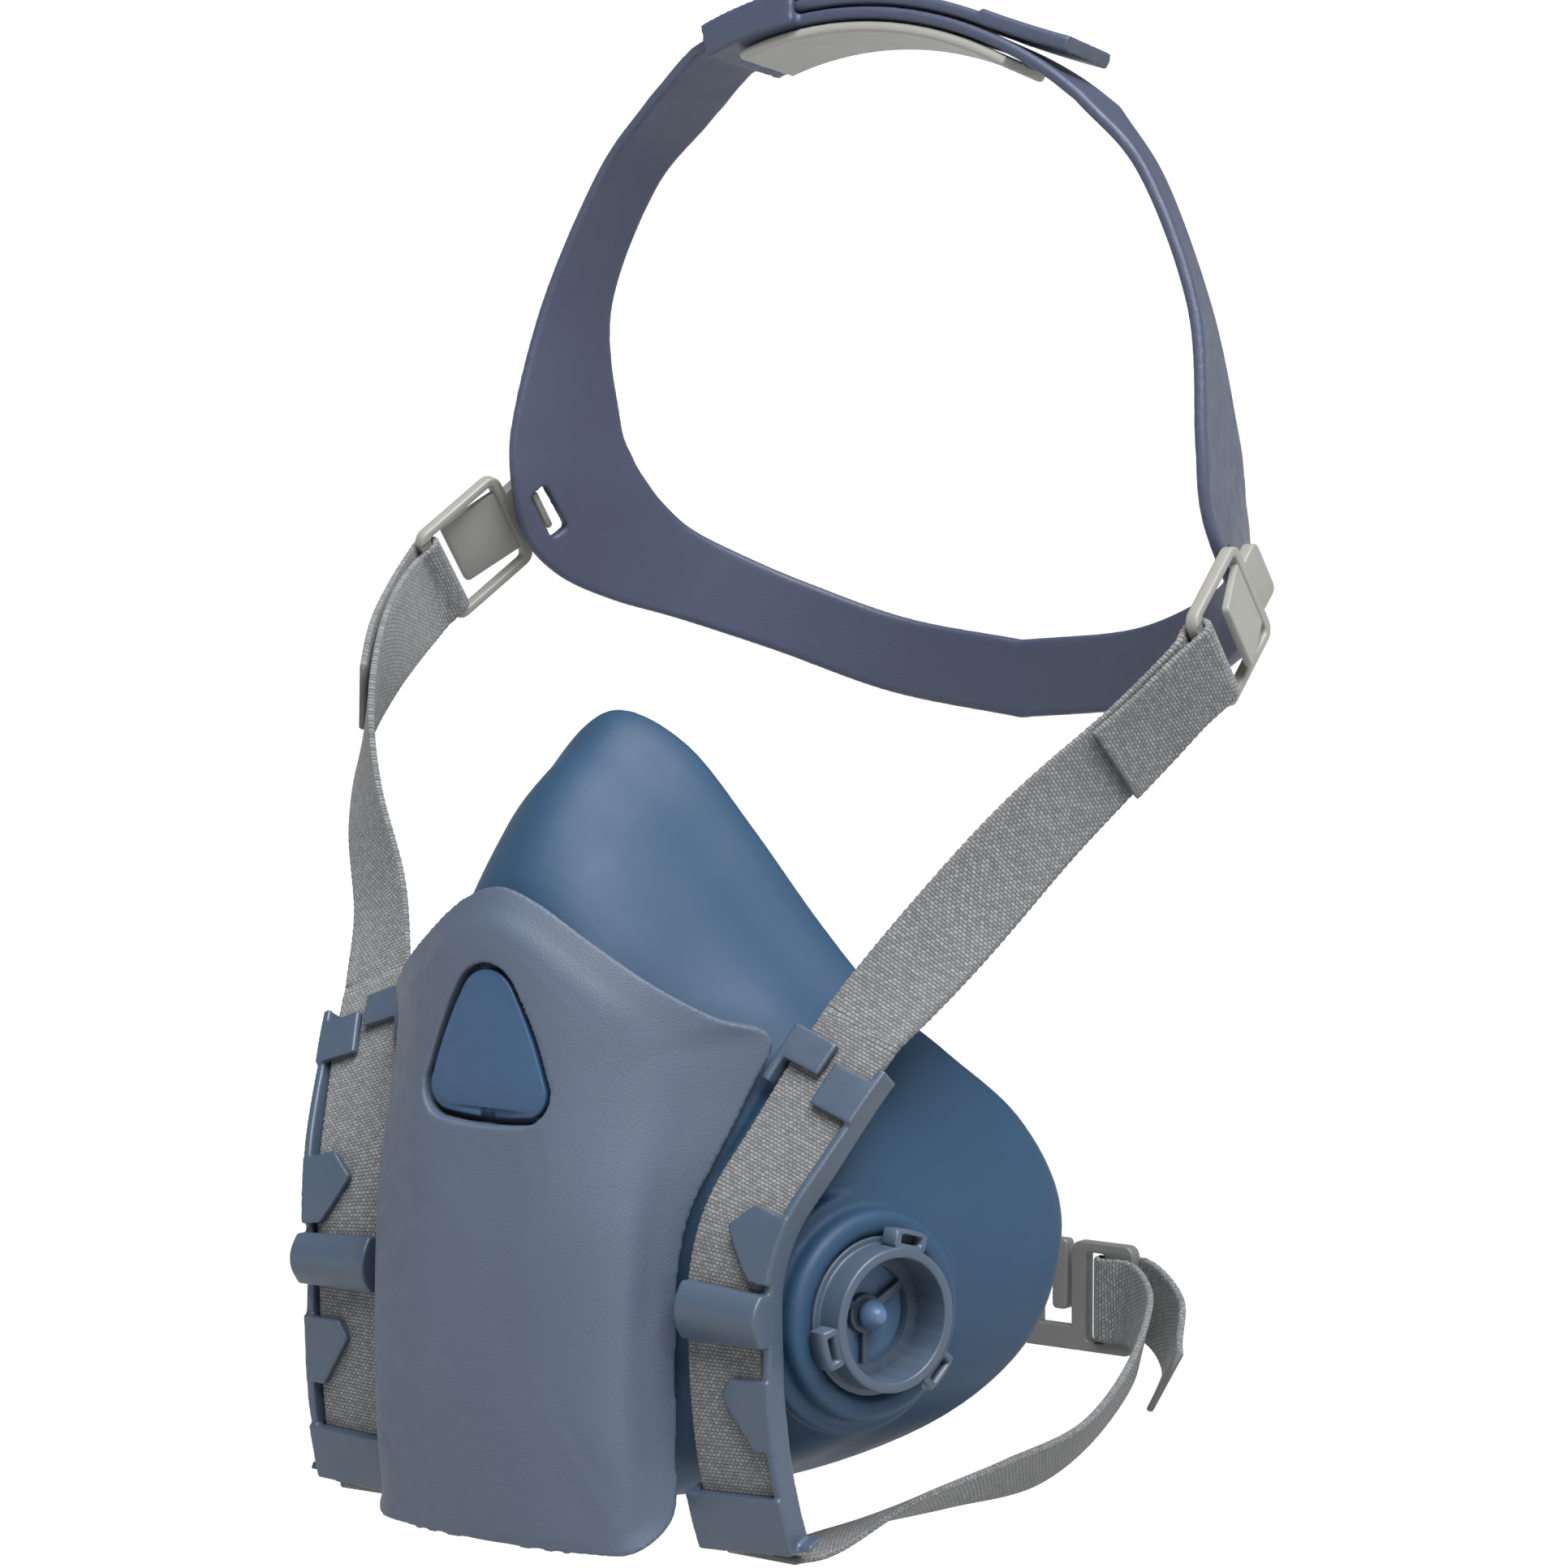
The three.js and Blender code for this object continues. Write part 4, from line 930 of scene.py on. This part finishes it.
# The harness hangs a little askew, so the wearer's right buckle sits higher; both are given on the
# left side.
BUCKLES = {
    "left": Buckle([82.9, 21.5, 108.7], [-0.097, 0.776, 0.623], [0.995, 0.086, 0.047]),
    "right": Buckle([85.4, 21.4, 116.6], [-0.282, 0.76, 0.586], [0.959, 0.201, 0.201]),
}
FREE_STRAPS = {
    "left": ([[53.5, -45.4, 43], [60, -32, 57], [68, -15, 74.5], [76, 0.5, 88.8]],
             [[0.9, -0.05, -0.43], [0.74, 0.3, -0.6], [0.4, 0.6, -0.69], [0.1, 0.68, -0.72]]),
    "right": ([[53.5, -45.4, 43], [59, -38.5, 56], [68, -32, 72], [74, -24, 86], [80, -10, 98.5]],
              [[0.9, -0.05, -0.43], [0.85, 0.15, -0.5], [0.74, 0.36, -0.57], [0.56, 0.55, -0.62],
               [0.25, 0.66, -0.71]]),
}
BAR_T = -10.7     # middle of the bar that the strap turns round
BAR_HALF = 0.9    # half its thickness
STRAP_OFF = 2.25  # strap layers this far from the middle of the bar
TAIL_OFF = 2.1    # the strap's tail beside the strap
HOOK_T = (11.4, 12.8)
GRIP_LEAN = math.radians(-13)


def resampled(points, widths, step):
    """Points and widths at an even pitch along the joined route."""
    p, w = np.vstack(points), np.vstack(widths)
    s = np.concatenate([[0], np.cumsum(np.linalg.norm(np.diff(p, axis=0), axis=1))])
    keep = np.concatenate([[True], np.diff(s) > 1e-6])
    p, w, s = p[keep], w[keep], s[keep]
    t = np.linspace(0, s[-1], int(s[-1] / step))
    return Line(*(np.stack([np.interp(t, s, x[:, a]) for a in range(3)], 1) for x in (p, w)))


def turn_back(middle, along, out, off, w, a0=-90, a1=90, k=24):
    """Route of a strap round a bar, at the distance off from its middle."""
    qs = np.radians(np.linspace(a0, a1, k))
    p = np.array([middle + along * off * math.cos(q) + out * off * math.sin(q) for q in qs])
    return p, np.tile(w, (k, 1))


def make_upper_strap(side):
    buckle = BUCKLES[side]
    points, widths = FREE_STRAPS[side]
    rail = path(RAIL_POINTS[::-1], RAIL_WIDTHS[::-1], 160, 0.02, 1.0)
    ends = [buckle.at(0, t, -STRAP_OFF) for t in (-14.5, BAR_T - 0.6)]
    up = path(points + ends, widths + [buckle.u] * 2, 161)
    turn = turn_back(buckle.at(0, BAR_T, 0), buckle.t, buckle.v, STRAP_OFF, buckle.u, -66, 66)
    main = Line(*up)
    beside = [120, 104, 88]
    tail = path([buckle.at(0, BAR_T - 0.6, STRAP_OFF)] + [main.p[i] - TAIL_OFF * main.v[i] for i in beside],
                [buckle.u] + [main.w[i] for i in beside], 60)
    line = resampled(*zip(rail, up, turn, tail), 0.5)
    obj = webbing(f"{side}_strap", line, side == "left")
    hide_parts(f"{side}_rail_strap", f"{side}_upper_strap")
    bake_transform(obj)


def make_buckle(side):
    where = BUCKLES[side].place
    ring = flat_plate(rounded(-10.4, -12, 10.4, 9, 2.6), -1.2, 1.2, where, 0.45,
                      [rounded(-8.8, BAR_T + 1.2, 8.8, 7, 1)])
    bar_room = [flat_plate(rounded(-8.8, -13, 8.8, BAR_T + 2, 0.1), a, b, where, 0)
                for a, b in ((BAR_HALF, 3), (-3, -BAR_HALF))]
    lean = np.eye(4)
    c, s = math.cos(GRIP_LEAN), math.sin(GRIP_LEAN)
    lean[1:3, 1:3] = [[c, -s], [s, c]]
    lean[1, 3] = 8
    grip = flat_plate(rounded(-6.8, -13.2, 6.8, 0, 1), -0.7, 0.7, where @ lean, 0.3)
    tab = flat_plate(rounded(-5.6, 8, 5.6, 14.6, 1.6), -1.2, 1.2, where, 0.4)
    hook = flat_plate(rounded(-4.2, HOOK_T[0], 4.2, HOOK_T[1], 0.5), -5.6, 0, where, 0.3)
    obj = to_side(joined(f"{side}_buckle_frame", [ring, grip, tab, hook], bar_room), side == "left")
    finish_piece(obj, "harness", "buckle_plastic", BUCKLE_MAT, f"{side}_cradle_buckle")


# ---- head cradle ---------------------------------------------------------------------------------
BAND_W = 16.5
BAND_T = 2.2
CROWN_R = 79.3
CROWN_AXIS = (33.5, 133.5)
LEAN_C, LEAN_S = math.cos(math.radians(12)), math.sin(math.radians(12))
# Sheet from the crown down the wearer's left side, round the corner and to the middle of the rear
# band: points on its outer and on its inner edge.
SHEET = [
    ([60.4, 26.7, 186.2], [57, 39, 183.1]),
    ([72.2, 24.9, 162.6], [67.1, 38.3, 160.5]),
    ([76.6, 20.8, 139.5], [69.2, 43.4, 139.5]),
    ([77.4, 21.4, 127.3], [68.5, 46.3, 132.3]),
    ([78.3, 26, 117.3], [67.1, 49, 127.6]),
    ([76.7, 34.2, 110], [65.5, 52.4, 123.2]),
    ([72.2, 44.8, 105], [62.5, 57.1, 118.4]),
    ([64.3, 55.8, 101], [56.7, 63.1, 114]),
    ([50.2, 67.6, 94.9], [45.6, 70.4, 108.3]),
    ([28.6, 76.1, 87.4], [25.7, 76.7, 101.7]),
    ([0, 78.2, 83.8], [0, 78.2, 98.6]),
]
CROWN_END = 33    # degrees where the side sheets leave the crown arc
KEEPER = (-24, -9.5)
STRIP_LIFT = 2.65
PAD_LIFT = -2.5


def crown(degrees, lift=0.0):
    """Points and outward normals on the crown arc."""
    q = np.radians(np.atleast_1d(np.asarray(degrees, float)))
    lift = np.broadcast_to(np.asarray(lift, float), q.shape)[:, None]
    y, z = CROWN_AXIS
    up = np.stack([LEAN_C * np.sin(q), np.full_like(q, LEAN_S), LEAN_C * np.cos(q)], 1)
    p = np.stack([CROWN_R * np.sin(q), np.full_like(q, y), z + CROWN_R * np.cos(q)], 1)
    return p + up * lift, up


def sheet_line(points, normals):
    """Frames along a sheet given by points and outward normals; its width points to the inner edge."""
    t = np.gradient(points, axis=0)
    return Line(points, unit(np.cross(normals, t)))


def crown_line(degrees, lift=0.0):
    return sheet_line(*crown(degrees, lift))


def crown_edges(degrees, lift=0.0):
    line = crown_line(degrees, lift)
    return np.stack([line.at(-BAND_W / 2, 0), line.at(BAND_W / 2, 0)])


def side_sheet(n=150):
    """The outer and the inner edge of a side sheet."""
    top = crown_edges([CROWN_END + 3, CROWN_END + 4])[:, 0]
    ts = np.linspace(0, len(SHEET), n)
    return np.stack([spline([top[k]] + [row[k] for row in SHEET], ts, uniform=True) for k in (0, 1)])


def ribbon(edges, rounding=0.8):
    """A band between two edges given point by point."""
    outer, inner = edges
    middle = Line((outer + inner) / 2, inner - outer)
    middle.w = unit(inner - outer)
    middle.v = unit(np.cross(middle.t, middle.w))
    half = np.linalg.norm(inner - outer, axis=1) / 2
    return strip(middle, -half, half, -BAND_T / 2, BAND_T / 2, rounding)


def make_cradle():
    e = BAND_W / 2
    h = BAND_T / 2
    side_edges = side_sheet()
    q = np.linspace(-34.6, -23, 24)
    end = crown_edges(q, np.interp(q, [-36, -33, -30, -27, -23], [0, 0.6, 1.7, STRIP_LIFT, STRIP_LIFT]))
    other = side_edges[:, -2::-1] * [-1, 1, 1]
    top = crown_edges(np.linspace(-21, CROWN_END - 1, 60))
    sheet = ribbon(np.concatenate([top, side_edges, other, end], 1))
    box = crown_line(np.linspace(*KEEPER, 24))
    shapes = [sheet, strip(box, -e - 2, e + 2, -h, h, 0.4),
              strip(box, -e - 2, -e - 0.5, 0, 5.4, 0.3), strip(box, e + 0.5, e + 2, 0, 5.4, 0.3),
              strip(box, -e - 2, e + 2, 4.2, 5.4, 0.3)]
    cutters = []
    for side in ("left", "right"):
        where = BUCKLES[side].place
        rooms = [flat_plate(rounded(-11.4, -14, 11.4, 9.6, 2), -2.1, 12, where, 0),
                 flat_plate(rounded(-6.4, 8, 6.4, 15.6, 1.6), -2.1, 12, where, 0),
                 flat_plate(rounded(-5.2, HOOK_T[0] - 1, 5.2, HOOK_T[1] + 1.4, 0.8), -14, 9, where, 0)]
        cutters += rooms if side == "left" else [mirrored(r) for r in rooms]
    obj = fused("cradle_band", shapes, 0.5, 2, keep=0.5, cutters=cutters)
    finish_piece(obj, "cradle", "cradle_plastic", CRADLE, "head_cradle")

    flat = strip(crown_line(np.linspace(-13.5, 20, 70), STRIP_LIFT), -e, e, -h, h, 0.7)
    i = np.linspace(0, 5, 34)
    tab = strip(crown_line(18 + 2.6 * i, STRIP_LIFT + 0.12 * i * i), -e, e, -h, 1.8, 0.7)
    obj = fused("crown_adjuster", [flat, tab], 0.4, 2)
    finish_piece(obj, "crown_slider", "cradle_plastic", CRADLE, "crown_strip")

    pad = strip(crown_line(np.linspace(-20, 24, 80), PAD_LIFT), -7.6, 7.6, -1, 1, 0.6)
    finish_piece(fused("crown_cushion", [pad], 0.4, 2), "cradle", "pad_plastic", PAD, "crown_pad")


# ---- neck straps and clasp -----------------------------------------------------------------------
CLASP_Y = 88
CLASP_Z = -27
CLASP_BAR = 14.2
NECK_OFF = 2.6


def make_neck_strap(side):
    near, far = CLASP_Y - NECK_OFF, CLASP_Y + NECK_OFF
    up = np.array([0, 0, 1.0])
    first = path([[42.7, -59.2, -45.6], [43.4, -50, -46.6], [45, -30, -44], [45, 0, -43.5], [41.5, 32, -43.6],
                  [35, 60, -37.5], [27.5, 79, -30], [20, near, CLASP_Z], [CLASP_BAR, near, CLASP_Z]],
                 [[1, 0, 0], [0.99, 0, 0.12], [0.92, 0, 0.39], [0.8, 0.05, 0.6], [0.62, 0.1, 0.78],
                  [0.4, 0.1, 0.92], [0.2, 0, 0.98], up, up], 240)
    turn = turn_back(np.array([CLASP_BAR, CLASP_Y, CLASP_Z]), np.array([-1.0, 0, 0]), np.array([0, 1.0, 0]),
                     NECK_OFF, up)
    tail = path([[CLASP_BAR, far, CLASP_Z], [20, far + 0.2, CLASP_Z], [31, 84, -31.5], [36.5, 73, -38]],
                [up, up, [0.2, 0, 0.98], [0.4, 0.1, 0.92]], 60)
    obj = webbing(f"{side}_lower_strap", resampled(*zip(first, turn, tail), 0.5), side == "left")
    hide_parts(f"{side}_neck_strap")
    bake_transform(obj)


def make_clasp(side):
    where = place([1, 0, 0], [0, 0, 1], [0, -1, 0], [0, CLASP_Y, CLASP_Z])
    if side == "right":
        where = spun(where, 180)
    plate = flat_plate(rounded(6, -10.6, 20, 10.6, 2), -1.4, 1.4, where, 0.4,
                       [rounded(9.4, -8.6, 13.6, 8.6, 0.8)])
    arm = flat_plate(rounded(-5, -10.6, 8, -6, 1), -1.4, 1.4, where, 0.4)
    tip = flat_plate(rounded(-5, -10.6, -1.6, 3, 1), -1.4, 1.4, where, 0.4)
    obj = joined(f"{side}_clasp_hook", [plate, arm, tip])
    finish_piece(obj, f"{side}_neck", "clasp_plastic", CLASP_MAT, f"{side}_clasp_half")


# ---- assembly ------------------------------------------------------------------------------------
add_camera()
add_stage()
make_facepiece()
make_exhalation_valve()
make_cover()
make_cradle()
for side in ("left", "right"):
    make_port(side)
    make_rail(side)
    make_upper_strap(side)
    make_neck_strap(side)
    make_buckle(side)
    make_clasp(side)
